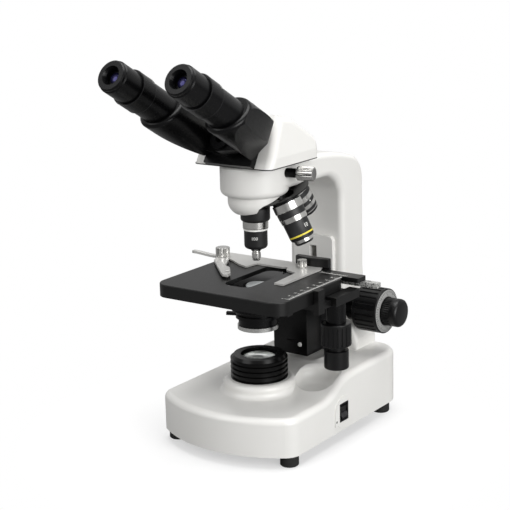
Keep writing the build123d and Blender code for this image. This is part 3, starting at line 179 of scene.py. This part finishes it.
def raised(tree, height, depth, strength):
    """Bump of a depth in millimetres."""
    return add(tree, "ShaderNodeBump", {"Height": height, "Strength": strength,
                                        "Distance": depth * MM}).outputs["Normal"]


def finish_with(tree, out, shader):
    """Ends a tree with a shader."""
    tree.links.new(shader.outputs[0], out.inputs["Surface"])


def surface(tree, out, inputs):
    """Ends a tree with one principled shader."""
    finish_with(tree, out, add(tree, "ShaderNodeBsdfPrincipled", inputs))


# Stove enamel on a die casting: soft white, slightly warm, with a faint orange peel
white_enamel, tree, out = blank("white_stove_enamel")
peel = grit(tree, 1.6)
cloud = grit(tree, 40)
surface(tree, out, {
    "Base Color": tinted(tree, cloud, "#e2e1dd", "#e8e7e4"),
    "Roughness": spread(tree, peel, 0.30, 0.38),
    "Normal": raised(tree, peel, 0.012, 0.35),
    "IOR": 1.5,
    "Coat Weight": 0.25,
    "Coat Roughness": 0.2,
})

# Satin black enamel on turned brass and cast parts: deep black with a soft wide highlight
black_enamel, tree, out = blank("satin_black_enamel")
peel = grit(tree, 0.5)
cloud = grit(tree, 25)
surface(tree, out, {
    "Base Color": tinted(tree, cloud, "#050506", "#09090a"),
    "Roughness": spread(tree, peel, 0.24, 0.32),
    "Specular IOR Level": 0.22,
    "Normal": raised(tree, peel, 0.01, 0.3),
    "IOR": 1.48,
})

# Black anodised stage plate: matter than the enamel, fine grit
stage_black, tree, out = blank("black_anodised_plate")
peel = grit(tree, 0.35)
cloud = grit(tree, 18)
surface(tree, out, {
    "Base Color": tinted(tree, cloud, "#070707", "#0c0c0c"),
    "Specular IOR Level": 0.4,
    "Roughness": spread(tree, peel, 0.32, 0.42),
    "Normal": raised(tree, peel, 0.01, 0.35),
    "IOR": 1.46,
})

# Moulded black plastic of knobs and switch: fine spark-eroded grain
black_plastic, tree, out = blank("moulded_black_plastic")
peel = grit(tree, 0.6, 4)
cloud = grit(tree, 12)
surface(tree, out, {
    "Base Color": tinted(tree, cloud, "#060607", "#0b0b0c"),
    "Specular IOR Level": 0.32,
    "Roughness": spread(tree, peel, 0.3, 0.4),
    "Normal": raised(tree, peel, 0.02, 0.4),
    "IOR": 1.49,
})

# Satin silver anodised ring that carries the focus scale: fine turning marks
ring_grey, tree, out = blank("silver_anodised_ring")
lines = grit(tree, 0.4)
surface(tree, out, {
    "Base Color": tinted(tree, lines, "#9a9a99", "#b4b4b2"),
    "Metallic": 0.3,
    "Roughness": spread(tree, lines, 0.35, 0.45),
})

# Smoke-grey metal used only for painted light: lines at the ends of the diopter rings as painted highlights on
# their edges, the seam under the head as painted shade, and the rocker's lower half as a painted highlight
painted_light_grey, tree, out = blank("grey_plate_painted_light")
lines = grit(tree, 0.4)
surface(tree, out, {
    "Base Color": tinted(tree, lines, "#2c2c2d", "#3a3a3b"),
    "Metallic": 0.5,
    "Roughness": spread(tree, lines, 0.25, 0.35),
})

# Ribbed lamp collar: polished black anodising, deep black with thin bright lines along the ribs
collar_black, tree, out = blank("polished_black_anodising")
peel = grit(tree, 0.4)
surface(tree, out, {
    "Base Color": tinted(tree, peel, "#030303", "#060606"),
    "Roughness": spread(tree, peel, 0.2, 0.28),
    "Specular IOR Level": 0.2,
})

# Bright plated brass of objective rings and thumbscrews: mirror-like with faint turning marks
chrome, tree, out = blank("bright_nickel_plate")
cloud = grit(tree, 6)
lines = grit(tree, 0.3)
surface(tree, out, {
    "Base Color": tinted(tree, cloud, "#c9c8c5", "#dddcd9"),
    "Metallic": 1,
    "Roughness": spread(tree, lines, 0.16, 0.26),
})

# Satin plated steel sheet of the specimen holder: fine lengthwise brushing
satin_steel, tree, out = blank("brushed_plated_steel")
place = add(tree, "ShaderNodeTexCoord").outputs["Object"]
stretched = add(tree, "ShaderNodeMapping", {"Vector": place, "Scale": (0.06, 1, 1)}).outputs["Vector"]
brush = add(tree, "ShaderNodeTexNoise", {"Vector": stretched, "Scale": 1 / (0.4 * MM),
                                         "Detail": 3}).outputs["Fac"]
surface(tree, out, {
    "Base Color": tinted(tree, brush, "#c9c8c5", "#dddcd9"),
    "Metallic": 0.5,
    "Roughness": spread(tree, brush, 0.30, 0.42),
    "Normal": raised(tree, brush, 0.01, 0.3),
})

# Machined aluminium of the filter ring and the lamp reflector
aluminium, tree, out = blank("turned_aluminium")
lines = grit(tree, 0.4)
surface(tree, out, {
    "Base Color": tinted(tree, lines, "#c6c6c4", "#d8d8d6"),
    "Metallic": 1,
    "Roughness": spread(tree, lines, 0.22, 0.34),
})

# Zinc-plated rack bar: grey metal with darker flecks of worn plating
worn_zinc, tree, out = blank("worn_zinc_plate")
flecks = grit(tree, 1.8, 4)
surface(tree, out, {
    "Base Color": tinted(tree, spread(tree, flecks, 0, 1, 0.38, 0.5), "#4a4a49", "#cfcfcc"),
    "Metallic": 0.6,
    "Roughness": spread(tree, flecks, 0.34, 0.5),
    "Normal": raised(tree, flecks, 0.03, 0.4),
})

# Moulded rubber feet: dull black with a dusty bloom
rubber, tree, out = blank("moulded_rubber")
bloom = grit(tree, 3, 4)
surface(tree, out, {
    "Base Color": tinted(tree, bloom, "#0e0e0e", "#1d1d1d"),
    "Roughness": spread(tree, bloom, 0.7, 0.85),
    "Normal": raised(tree, bloom, 0.05, 0.3),
})

# Coated eye lens: dark glass with a violet-blue bloom
coated_glass, tree, out = blank("coated_eye_glass")
cloud = grit(tree, 5)
surface(tree, out, {
    "Base Color": tinted(tree, cloud, "#0b0a1c", "#1a1838"),
    "Roughness": 0.08,
    "IOR": 1.7,
    "Specular Tint": linear("#a8a4ff"),
})

# Clear polished glass of the lamp lens, the objectives and the prisms
clear_glass, tree, out = blank("polished_crown_glass")
cloud = grit(tree, 9)
surface(tree, out, {
    "Base Color": tinted(tree, cloud, "#e9ece9", "#f4f6f4"),
    "Roughness": spread(tree, cloud, 0.03, 0.09),
    "IOR": 1.52,
    "Transmission Weight": 0.85,
})

# Polished condenser lens with a painted highlight: a bright milky colour and little light let through stand
# for the lens lit by the lamp below
condenser_painted_glint, tree, out = blank("condenser_glass_painted_bright")
cloud = grit(tree, 6)
surface(tree, out, {
    "Base Color": tinted(tree, cloud, "#d4dadb", "#eef1f1"),
    "Roughness": spread(tree, cloud, 0.05, 0.12),
    "IOR": 1.52,
    "Transmission Weight": 0.15,
})

# Fired-on paint of scales, marks and bands
paints = {}
for label, first, second in (("white", "#e8e8e4", "#f6f6f3"), ("yellow", "#d9c533", "#ecdc55"),
                             ("black", "#0c0c0d", "#151516")):
    paints[label], tree, out = blank(f"{label}_marking_paint")
    mottle = grit(tree, 0.8)
    surface(tree, out, {
        "Base Color": tinted(tree, mottle, first, second),
        "Roughness": spread(tree, mottle, 0.4, 0.55),
    })

# Lacquered lamp board
board, tree, out = blank("lacquered_lamp_board")
mottle = grit(tree, 2)
surface(tree, out, {
    "Base Color": tinted(tree, mottle, "#d9d8cf", "#ecebe4"),
    "Roughness": spread(tree, mottle, 0.35, 0.5),
})

# Finish of every solid
finishes = {
    white_enamel: ["base_shell", "arm", "head_shell", "focus_guide", "nosepiece_housing"],
    collar_black: ["lamp_collar"],
    black_enamel: ["turret", "port_cap", "swing_hub", "left_prism_housing", "right_prism_housing",
                   "left_eyepiece", "right_eyepiece", "left_diopter_ring", "right_diopter_ring",
                   "focus_block", "stage_bracket", "drive_tube", "condenser_body", "condenser_ring",
                   "iris_lever", "focus_bushes"],
    stage_black: ["stage_carrier", "stage_plate", "cross_guide", "holder_carriage"],
    black_plastic: ["coarse_knobs", "length_knob", "cross_knob", "power_inlet", "switch_body",
                    "switch_rocker", "fine_knobs"],
    chrome: ["head_lock_screw", "holder_screws", "objective_4x", "objective_10x", "objective_100x",
             "turret_pivot", "base_screws"],
    satin_steel: ["specimen_holder", "holder_finger", "head_dovetail", "focus_rack", "coarse_shaft",
                  "fine_shaft", "base_plate"],
    worn_zinc: ["cross_rack"],
    aluminium: ["filter_holder", "lamp_reflector"],
    rubber: ["rubber_feet"],
    coated_glass: ["left_eye_lens", "right_eye_lens"],
    condenser_painted_glint: ["condenser_lens"],
    clear_glass: ["field_lens", "objective_lenses", "head_prism", "left_tube_prism",
                  "right_tube_prism"],
    board: ["led_board"],
}
for finish, nodes in finishes.items():
    for node in nodes:
        for slot in frame["nodes"][node].material_slots:
            slot.material = finish


def axis_frame(point, axis, across=(1, 0, 0)):
    """Matrix whose Z is an axis through a point, and whose X is as near as can be to another direction."""
    z = Vector(axis).normalized()
    x = (Vector(across) - z * z.dot(Vector(across))).normalized()
    y = z.cross(x)
    turn = Matrix((x, y, z)).transposed().to_4x4()
    return Matrix.Translation(Vector(point)) @ turn


def piece(shape, name, place, materials, body, smooth_below=35):
    """Makes a finished piece of a bmesh, puts it in place and lets it ride on a body."""
    bmesh.ops.transform(shape, matrix=place, verts=shape.verts)
    mesh = bpy.data.meshes.new(name)
    shape.to_mesh(mesh)
    shape.free()
    for made in materials:
        mesh.materials.append(made)
    mesh.shade_smooth()
    mesh.set_sharp_from_angle(angle=math.radians(smooth_below))
    made = bpy.data.objects.new(name, mesh)
    bpy.context.scene.collection.objects.link(made)
    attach(made, body)
    return made


def turned(name, place, outline, bands, body, steps=96):
    """Lathe work: (radius, height) points spun about the place's Z. Bands are (top height, finish)."""
    shape = bmesh.new()
    points = [shape.verts.new((radius * MM, 0, height * MM)) for radius, height in outline]
    edges = [shape.edges.new(pair) for pair in zip(points, points[1:])]
    bmesh.ops.spin(shape, geom=points + edges, cent=(0, 0, 0), axis=(0, 0, 1), dvec=(0, 0, 0),
                   angle=2 * math.pi, steps=steps, use_merge=True)
    bmesh.ops.remove_doubles(shape, verts=shape.verts, dist=0.001 * MM)
    bmesh.ops.recalc_face_normals(shape, faces=shape.faces)
    for face in shape.faces:
        height = face.calc_center_median().z / MM
        face.material_index = next(i for i, (top, _) in enumerate(bands) if height <= top)
    return piece(shape, name, place, [finish for _, finish in bands], body)


def knurled(name, place, radius, start, end, teeth, depth, finish, body, chamfer=0.6):
    """Round grip with straight grooves, between two heights along the place's Z."""
    shape = bmesh.new()
    rim = bmesh.ops.create_circle(shape, cap_ends=True, segments=2 * teeth, radius=radius * MM)["verts"]
    for vert in rim[::2]:
        vert.co *= (radius - depth) / radius
    bmesh.ops.translate(shape, verts=shape.verts, vec=(0, 0, start * MM))
    raised_part = bmesh.ops.extrude_face_region(shape, geom=shape.faces[:])["geom"]
    top = [part for part in raised_part if isinstance(part, bmesh.types.BMVert)]
    bmesh.ops.translate(shape, verts=top, vec=(0, 0, (end - start) * MM))
    bmesh.ops.recalc_face_normals(shape, faces=shape.faces)
    ends = [face for face in shape.faces if len(face.verts) > 4]
    bmesh.ops.inset_region(shape, faces=ends, thickness=chamfer * MM, depth=chamfer * MM / 2,
                           use_even_offset=True)
    return piece(shape, name, place, [finish], body, 20)


def bars(name, places, size, finish, body):
    """Small printed bars at (matrix, length) places, of a width and a thickness."""
    shape = bmesh.new()
    for place, length in places:
        scale = Matrix.Diagonal((size[0] * MM, length * MM, size[1] * MM, 1))
        bmesh.ops.create_cube(shape, size=1, matrix=place @ scale)
    return piece(shape, name, Matrix(), [finish], body)


def numerals(name, words, height, place, finish, body, radius=None):
    """Printed numerals: flat on the place's XY, or wrapped round its Z at a radius with their tops to -Z."""
    curve = bpy.data.curves.new(name, "FONT")
    curve.body = words
    curve.size = height * MM
    curve.align_x = "CENTER"
    curve.align_y = "CENTER"
    curve.extrude = engraving_lift * MM
    curve.resolution_u = 3
    writing = bpy.data.objects.new(name, curve)
    shape = bmesh.new()
    shape.from_mesh(bpy.data.meshes.new_from_object(writing))
    bpy.data.objects.remove(writing)
    if radius:
        for vert in shape.verts:
            turn = -vert.co.x / (radius * MM)
            reach = radius * MM + vert.co.z
            vert.co = (reach * math.cos(turn), reach * math.sin(turn), -vert.co.y)
    return piece(shape, name, place, [finish], body)


# Objectives: turn about the nosepiece axis from the upright one, side the numerals face, outline and bands
nose = joints["nosepiece_turn"]
nose_point, nose_axis = Vector(nose["pos_m"]), Vector(nose["axis"])
black, white = paints["black"], paints["white"]
objective_work = {
    "100x": (0, (0.55, -1, 0), [
        (0, -3.2), (10.1, -3.2), (10.1, 0), (13.5, 0.1), (13.5, 9.8), (13.2, 10.8), (12.5, 11.6),
        (11.8, 12), (11.7, 12.1), (11.7, 17.2), (11.3, 17.4), (11.3, 17.8), (11.7, 18), (11.7, 18.7),
        (11.2, 18.8), (11.2, 20.3), (10.75, 20.4), (10.7, 20.7), (10.7, 34), (10.5, 35.4), (9.8, 36.6),
        (8.8, 37.3), (7, 37.8), (5.8, 38), (4.6, 39.5), (3.6, 40.6), (3.6, 41.6), (4.1, 42), (4.1, 46.5),
        (3.6, 47), (3.5, 48.6), (3.2, 49), (0, 49),
    ], [(12.05, black), (18.75, chrome), (20.35, white), (37.9, black), (50, chrome)]),
    "10x": (-90, (0.98, -0.16, 0), [
        (0, -3.2), (10.1, -3.2), (10.1, 0), (13.4, 0.1), (13.7, 0.5), (13.7, 7.4), (13.4, 7.8), (13, 7.9),
        (12.8, 13.8), (12.6, 13.9), (12.6, 14.2), (12.3, 18.4), (12, 18.7), (11.6, 18.8), (11.4, 31.2),
        (11.45, 31.3), (11.4, 32.8), (11.3, 32.9), (11.2, 34), (10.8, 35.4), (9.8, 36.1), (9.2, 36.2),
        (9.1, 38.9), (8.6, 39.1), (8, 40.4), (7, 41), (0, 41),
    ], [(7.85, chrome), (13.85, black), (18.75, chrome), (31.25, black), (32.85, paints["yellow"]),
        (36.15, black), (39, chrome), (42, black)]),
    "4x": (180, (0.98, -0.16, 0), [
        (0, -3.2), (10.1, -3.2), (10.1, 0), (12.9, 0.1), (13.2, 0.4), (13.2, 3.1), (12.7, 3.2), (12.7, 8.1),
        (12.2, 8.2), (12.2, 13.1), (11.8, 13.2), (11.8, 17.1), (11.4, 17.2), (11.3, 20.9), (11.2, 21),
        (10.9, 23.9), (10.8, 24), (10.7, 25), (10.6, 25.1), (10.4, 26.4), (9.9, 27.4), (9, 28), (0, 28),
    ], [(3.15, chrome), (8.15, black), (13.15, chrome), (17.15, black), (20.95, chrome), (23.95, black),
        (25.05, chrome), (29, black)]),
}
# Numerals of each objective: words, height, place along the axis and radius
engravings = {"100x": ("100", 4.2, 27, 10.72), "10x": ("10", 5, 25.5, 11.52), "4x": ("4", 3.2, 15.2, 11.82)}
for power, (turn, facing, outline, bands) in objective_work.items():
    swung = Matrix.Rotation(math.radians(turn), 3, nose_axis)
    along = swung @ Vector((0, 0, -1))
    seat = axis_frame(nose_point + along * shoulder * MM, along, facing)
    made = turned(f"objective_{power}_dressed", seat, outline, bands, "nosepiece")
    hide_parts(f"objective_{power}")
    words, size, height, radius = engravings[power]
    numerals(f"objective_{power}_numerals", words, size, seat @ Matrix.Translation((0, 0, height * MM)),
             white, "nosepiece", radius)

# Head lock screw: slim black stem and a coarse knurled knob
lock = joints["head_lock_turn"]
lock_place = axis_frame(lock["pos_m"], lock["axis"])
turned("head_lock_stem", lock_place, [(0, 22.6), (2.6, 22.6), (2.6, 30), (4.2, 31.2), (4.2, 40), (3.2, 40.6),
                                      (3.2, 43), (0, 43)],
       [(all_heights, black_enamel)], "head_lock", 48)
grip = knurled("head_lock_grip", lock_place, lock_grip_radius, lock_grip_start, lock_grip_end, 22, 0.45,
               chrome, "head_lock", 0.9)
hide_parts("head_lock_screw")

# Sprung finger: its root stands up to the thumbscrew and it bends down to the slide
screw_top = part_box("holder_screws")[1][2] / MM
finger_low, finger_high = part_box("holder_finger")
finger_foot = finger_low[2] / MM
jaw = joints["jaw_open"]
jaw_point = Vector((jaw["pos_m"][0], jaw["pos_m"][1], 0))
finger_rise = screw_top - thumbscrew_height - thumbscrew_gap - finger_high[2] / MM
shape = bmesh.new()
shape.from_mesh(frame["nodes"]["holder_finger"].data)
bmesh.ops.remove_doubles(shape, verts=shape.verts, dist=0.001 * MM)
bmesh.ops.subdivide_edges(shape, edges=shape.edges, cuts=7, use_grid_fill=True)
for vert in shape.verts:
    away = (Vector((vert.co.x, vert.co.y, 0)) - jaw_point).length / MM
    bend = min(1, max(0, (finger_bend_end - away) / (finger_bend_end - finger_bend_start)))
    vert.co.z += finger_rise * MM * bend * bend * (3 - 2 * bend)
made = piece(shape, "bent_finger", Matrix(), [satin_steel], "holder_jaw")
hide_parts("holder_finger")

# Holder thumbscrews: a small one on the plate and a broad one over the finger
jaw_place = Matrix.Translation(jaw_point)
grip = knurled("finger_thumbscrew", jaw_place, thumbscrew_radius, screw_top - thumbscrew_height, screw_top,
               20, 0.5, chrome, "slide_holder", 0.9)
turned("finger_thumbscrew_stem", jaw_place,
       [(0, finger_foot), (3, finger_foot), (3, screw_top - 1), (0, screw_top - 1)],
       [(all_heights, chrome)], "slide_holder", 40)
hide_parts("holder_screws")
holder_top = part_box("specimen_holder")[1][2] / MM
clamp_place = Matrix.Translation((clamp_spot[0] * MM, clamp_spot[1] * MM, 0))
knurled("clamp_thumbscrew", clamp_place, clamp_radius, holder_top + 1, holder_top + 7, 18, 0.35, chrome,
        "slide_holder", 0.6)
turned("clamp_collar", clamp_place,
       [(0, holder_top), (3.4, holder_top), (3.4, holder_top + 1.2), (0, holder_top + 1.2)],
       [(all_heights, chrome)], "slide_holder", 40)

# Focus knobs: graduated silver rings beside the coarse knobs, and knurled fine knobs with smooth caps
knob_point = joints["coarse_turn"]["pos_m"]
knob_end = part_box("coarse_knobs")[1][0] / MM
fine_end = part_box("fine_knobs")[1][0] / MM
for side in (-1, 1):
    label = "left" if side < 0 else "right"
    knob_place = axis_frame(knob_point, (side, 0, 0), (0, 1, 0))
    turned(f"{label}_focus_scale", knob_place,
           [(14, knob_end - 0.5), (20.4, knob_end - 0.5), (20.4, knob_end + 0.1), (20.1, knob_end + 0.3),
            (14.2, knob_end + 0.45), (14, knob_end)], [(all_heights, ring_grey)], "coarse")
    marks = []
    for step in range(scale_divisions):
        spoke = knob_place @ Matrix.Rotation(step * math.tau / scale_divisions, 4, "Z")
        length = 3.4 if step % 5 == 0 else 1.9
        spot = Matrix.Translation((0, (scale_rim - length / 2) * MM, (knob_end + 0.33) * MM))
        marks.append((spoke @ spot, length))
    bars(f"{label}_focus_marks", marks, (0.5, 0.16), black, "coarse")
    for step in range(0, scale_divisions, 10):
        spoke = knob_place @ Matrix.Rotation(step * math.tau / scale_divisions, 4, "Z")
        spot = Matrix.Translation((1.6 * MM, scale_number_radius * MM, (knob_end + 0.42) * MM))
        numerals(f"{label}_focus_number_{step}", str(step // 5), 2.2, spoke @ spot, black, "coarse")
    grip = knurled(f"{label}_fine_grip", knob_place, fine_grip_radius, fine_grip_start, fine_grip_end, 40, 0.6,
                   black_plastic, "fine", 0.3)
    turned(f"{label}_fine_cap", knob_place,
           [(0, 85), (13.2, 85), (13.5, 86.5), (13.5, fine_end - 3.2), (13.1, fine_end - 1.7),
            (12.1, fine_end - 0.6), (10.4, fine_end), (0, fine_end)],
           [(all_heights, black_plastic)], "fine")
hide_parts("fine_knobs")

# Lengthwise scale printed on the stage plate, read at the pointer
plate_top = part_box("stage_plate")[1][2] / MM
quarter_turn = Matrix.Rotation(math.pi / 2, 4, "Z")
line = Matrix.Translation((scale_x * MM, (scale_start + scale_length / 2) * MM, plate_top * MM))
bars("length_scale_line", [(line, scale_length)], (0.5, mark_lift), white, "stage_upper")
marks = []
for step in range(0, scale_length + 1, mark_step):
    length = 4.6 if step % long_mark_step == 0 else 2.2
    spot = Matrix.Translation(((scale_x - length / 2) * MM, (scale_start + step) * MM, plate_top * MM))
    marks.append((spot @ quarter_turn, length))
bars("length_scale_marks", marks, (0.35, mark_lift), white, "stage_upper")
for step in range(0, scale_length, long_mark_step):
    spot = Matrix.Translation(((scale_x - 7) * MM, (scale_start + step) * MM, plate_top * MM))
    numerals(f"length_number_{step}", str(step), 2.6, spot, white, "stage_upper")

# Crosswise scale on the guide bar
guide_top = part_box("cross_guide")[1][2] / MM
line = Matrix.Translation(((cross_start + cross_length / 2) * MM, cross_y * MM, guide_top * MM))
bars("cross_scale_line", [(line @ quarter_turn, cross_length)], (0.45, mark_lift), white, "stage_upper")
marks = []
for step in range(0, cross_length + 1, mark_step):
    length = 3.4 if step % long_mark_step == 0 else 1.8
    spot = Matrix.Translation(((cross_start + step) * MM, (cross_y + length / 2) * MM, guide_top * MM))
    marks.append((spot, length))
bars("cross_scale_marks", marks, (0.3, mark_lift), white, "stage_upper")

# White cover screw low on the focus block
block_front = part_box("focus_block")[0][1]
screw_place = axis_frame((cover_screw_spot[0] * MM, block_front, cover_screw_spot[1] * MM), (0, -1, 0))
turned("block_cover_screw", screw_place, [(0, -1), (2.2, -1), (2.2, 0.5), (1.8, 1), (0, 1.1)],
       [(all_heights, white)], "focus_carriage", 32)

# Painted shade: a thin dark band, a little proud of the head's foot, stands for the shadow in the gap between
# the head and the limb
head_low, head_high = (Vector(corner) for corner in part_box("head_shell"))
shade_band_low = head_low - Vector((shade_band_proud, shade_band_proud, shade_band_proud)) * MM
shade_band_high = Vector((head_high.x, head_high.y, head_low.z))
shade_band_high += Vector((shade_band_proud, shade_band_proud, shade_band_height)) * MM
shape = bmesh.new()
bmesh.ops.create_cube(shape, size=1, matrix=Matrix.Translation((shade_band_low + shade_band_high) / 2)
                      @ Matrix.Diagonal((*(shade_band_high - shade_band_low), 1)))
upright_edges = [edge for edge in shape.edges
                 if abs(edge.verts[0].co.z - edge.verts[1].co.z) > shade_band_proud * MM]
bmesh.ops.bevel(shape, geom=upright_edges, offset=head_corner * MM, segments=8, profile=0.5, affect="EDGES",
                material=-1)
piece(shape, "head_seam_painted_shade", Matrix(), [painted_light_grey], "head")

# Small fuse hole beside the switch, drawn as a flat black disc: painted shade in place of the hole's depth
bezel_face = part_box("base_shell")[1][0]
hole_place = axis_frame((bezel_face, fuse_hole_spot[0] * MM, fuse_hole_spot[1] * MM), (1, 0, 0), (0, 1, 0))
turned("fuse_hole_painted_shade", hole_place, [(0, -1), (1.1, -1), (1.1, 0.05), (0, 0.08)], [(all_heights, black)], "stand",
       24)

# Painted highlight on the pressed lower half of the rocker: a smoke-grey plate leaning with it stands for the
# light on that face
rocker_low, rocker_high = (Vector(corner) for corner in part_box("switch_rocker"))
rocker_middle = (rocker_low + rocker_high) / 2
pad_foot = Vector((rocker_high.x, rocker_middle.y, rocker_low.z))
pad_head = Vector((rocker_high.x - rocker_lean * MM, rocker_middle.y, rocker_middle.z))
pad_rise = pad_head - pad_foot
highlight_face = axis_frame((pad_foot + pad_head) / 2, Vector((pad_rise.z, 0, -pad_rise.x)), (0, 1, 0))
highlight_size = (rocker_high.y - rocker_low.y - 1.6 * MM, pad_rise.length - 1.4 * MM, rocker_highlight_thickness * MM)
shape = bmesh.new()
bmesh.ops.create_cube(shape, size=1, matrix=Matrix.Diagonal((*highlight_size, 1)))
bmesh.ops.bevel(shape, geom=shape.edges[:], offset=0.4 * MM, segments=3, profile=0.5, affect="EDGES",
                material=-1)
piece(shape, "rocker_painted_highlight", highlight_face, [painted_light_grey], "switch")

# Eye tubes: setting dot, diopter marks and set screws
outwards = Matrix.Rotation(math.pi / 2, 4, "Y")
tube_places = {}
for side in ("left", "right"):
    tube = joints[f"{side}_diopter_turn"]
    tube_places[side] = tube_place = axis_frame(tube["pos_m"], tube["axis"])
    spoke = tube_place @ Matrix.Rotation(math.radians(setting_angle), 4, "Z")
    face = spoke @ Matrix.Translation((tube_radius * MM, 0, (tube_end - 4) * MM)) @ outwards
    turned(f"{side}_tube_dot", face, [(0, -0.3), (0.9, -0.3), (0.9, 0.08), (0, 0.12)],
           [(all_heights, white)], f"{side}_swing", 24)
    ring_marks = []
    for step in range(-4, 5):
        spoke = tube_place @ Matrix.Rotation(math.radians(setting_angle + 7 * step), 4, "Z")
        length = 3.2 if step == 0 else 1.8
        spot = spoke @ Matrix.Translation((diopter_radius * MM, 0, (tube_end + 1.2 + length / 2) * MM))
        ring_marks.append((spot @ Matrix.Rotation(math.pi / 2, 4, "X") @ outwards, length))
    bars(f"{side}_diopter_marks", ring_marks, (0.3, 0.14), white, f"{side}_diopter")
    for count, angle in enumerate(set_screw_angles):
        spoke = tube_place @ Matrix.Rotation(math.radians(angle), 4, "Z")
        face = spoke @ Matrix.Translation((housing_radius * MM, 0, set_screw_height * MM)) @ outwards
        turned(f"{side}_set_screw_{count}", face,
               [(0, -0.6), (1, -0.6), (1.1, 0.02), (1.9, 0.06), (2.1, -0.2), (2.1, -1)],
               [(all_heights, black_plastic)], f"{side}_swing", 24)

# Eyepieces: domed coated lenses in black seats, and smoke-grey lines at both ends of the diopter rings as
# painted highlights on their edges
for side, tube_place in tube_places.items():
    rim = lens_seat + 2.1
    seat = [(0, lens_seat), (lens_seat_radius, lens_seat), (lens_seat_radius, lens_seat + 2),
            (lens_radius, rim)]
    for step in range(10, 91, 10):
        rise = math.radians(step)
        seat.append((lens_radius * math.cos(rise), rim + lens_dome * math.sin(rise)))
    made = turned(f"{side}_eye_glass", tube_place, seat,
                  [(lens_seat + 2.12, black_enamel), (all_heights, coated_glass)],
                  f"{side}_ocular", 64)
    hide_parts(f"{side}_eye_lens")
    # Smoke-grey lines: painted highlights on the diopter ring's edges
    for label, height in (("lower", tube_end + 0.5), ("upper", sleeve_end - 0.7)):
        turned(f"{side}_diopter_{label}_line", tube_place,
               [(15.6, height), (16.24, height), (16.3, height + 0.2), (16.24, height + 0.4),
                (15.6, height + 0.4)],
               [(all_heights, painted_light_grey)], f"{side}_diopter", 96)

# Camera
azimuth, pitch, roll = (math.radians(v) for v in (camera_azimuth, camera_pitch, camera_roll))
back = Vector((math.sin(azimuth) * math.cos(pitch), -math.cos(azimuth) * math.cos(pitch), math.sin(pitch)))
level = Vector((math.cos(azimuth), math.sin(azimuth), 0))
upright = back.cross(level)
right = math.cos(roll) * level + math.sin(roll) * upright
up = -math.sin(roll) * level + math.cos(roll) * upright
lens = bpy.data.cameras.new("camera")
lens.sensor_width = sensor_width
lens.lens = camera_focal * sensor_width
lens.clip_end = 20
camera = bpy.data.objects.new("camera", lens)
camera_turn = Matrix((right, up, back)).transposed().to_4x4()
camera.matrix_world = Matrix.Translation(Vector(camera_place) * MM) @ camera_turn
bpy.context.scene.collection.objects.link(camera)
bpy.context.scene.camera = camera

# White sweep: keeps the object's shadow near it and fades to plain white further out
floor_shape = bmesh.new()
bmesh.ops.create_circle(floor_shape, cap_ends=True, segments=64, radius=floor_radius)
floor_mesh = bpy.data.meshes.new("floor")
floor_shape.to_mesh(floor_mesh)
floor_shape.free()
floor = bpy.data.objects.new("floor", floor_mesh)
bpy.context.scene.collection.objects.link(floor)
sweep, tree, out = blank("matt_white_paper")
place = add(tree, "ShaderNodeTexCoord").outputs["Object"]
distance = add(tree, "ShaderNodeVectorMath", {0: place}, operation="LENGTH").outputs["Value"]
fibre = grit(tree, 1.5, 3)
watched = add(tree, "ShaderNodeLightPath").outputs["Is Camera Ray"]
paper = add(tree, "ShaderNodeBsdfDiffuse", {"Color": tinted(tree, fibre, "#f7f7f7", "#fbfbfb")})
dim = add(tree, "ShaderNodeBsdfDiffuse", {"Color": tinted(tree, fibre, "#888888", "#909090")})
glow = add(tree, "ShaderNodeEmission", {"Color": linear("#ffffff"), "Strength": 1})
far = spread(tree, distance, 0.5, 1, 0.1, 0.23)
sheet = add(tree, "ShaderNodeMixShader", {0: far, 1: paper.outputs[0], 2: glow.outputs[0]})
finish_with(tree, out, add(tree, "ShaderNodeMixShader", {0: watched, 1: dim.outputs[0], 2: sheet.outputs[0]}))
floor_mesh.materials.append(sweep)

# Soft studio light: place and size in metres, power in watts
for label, spot, size, power in (("key", (-0.7, -1.5, 1.3), 1.4, 12), ("fill", (1.7, -0.5, 0.5), 1.4, 28),
                                 ("top", (0.1, 0.1, 2.0), 1.6, 31)):
    lamp = bpy.data.lights.new(label, "AREA")
    lamp.shape = "DISK"
    lamp.size = size
    lamp.energy = power
    lamp_object = bpy.data.objects.new(label, lamp)
    lamp_object.location = spot
    aim = Vector(lamp_target) - Vector(spot)
    lamp_object.rotation_euler = aim.to_track_quat("-Z", "Y").to_euler()
    bpy.context.scene.collection.objects.link(lamp_object)

# White surroundings: full white where seen, softer in reflections and as a light
world = bpy.data.worlds.new("white_room")
world.use_nodes = True
tree = world.node_tree
tree.nodes.clear()
out = add(tree, "ShaderNodeOutputWorld")
path = add(tree, "ShaderNodeLightPath").outputs
seen = add(tree, "ShaderNodeMath", {0: path["Is Camera Ray"], 1: path["Is Transmission Ray"]},
           operation="MAXIMUM")
mirrored = add(tree, "ShaderNodeMath", {0: path["Is Glossy Ray"], 1: room_mirror}, operation="MULTIPLY")
shown = add(tree, "ShaderNodeMath", {0: seen.outputs[0], 1: mirrored.outputs[0]}, operation="MAXIMUM")
finish_with(tree, out, add(tree, "ShaderNodeBackground", {
    "Color": linear("#ffffff"),
    "Strength": spread(tree, shown.outputs[0], room_light, 1, 0, 1),
}))
bpy.context.scene.world = world
bpy.context.scene.view_settings.view_transform = "Standard"
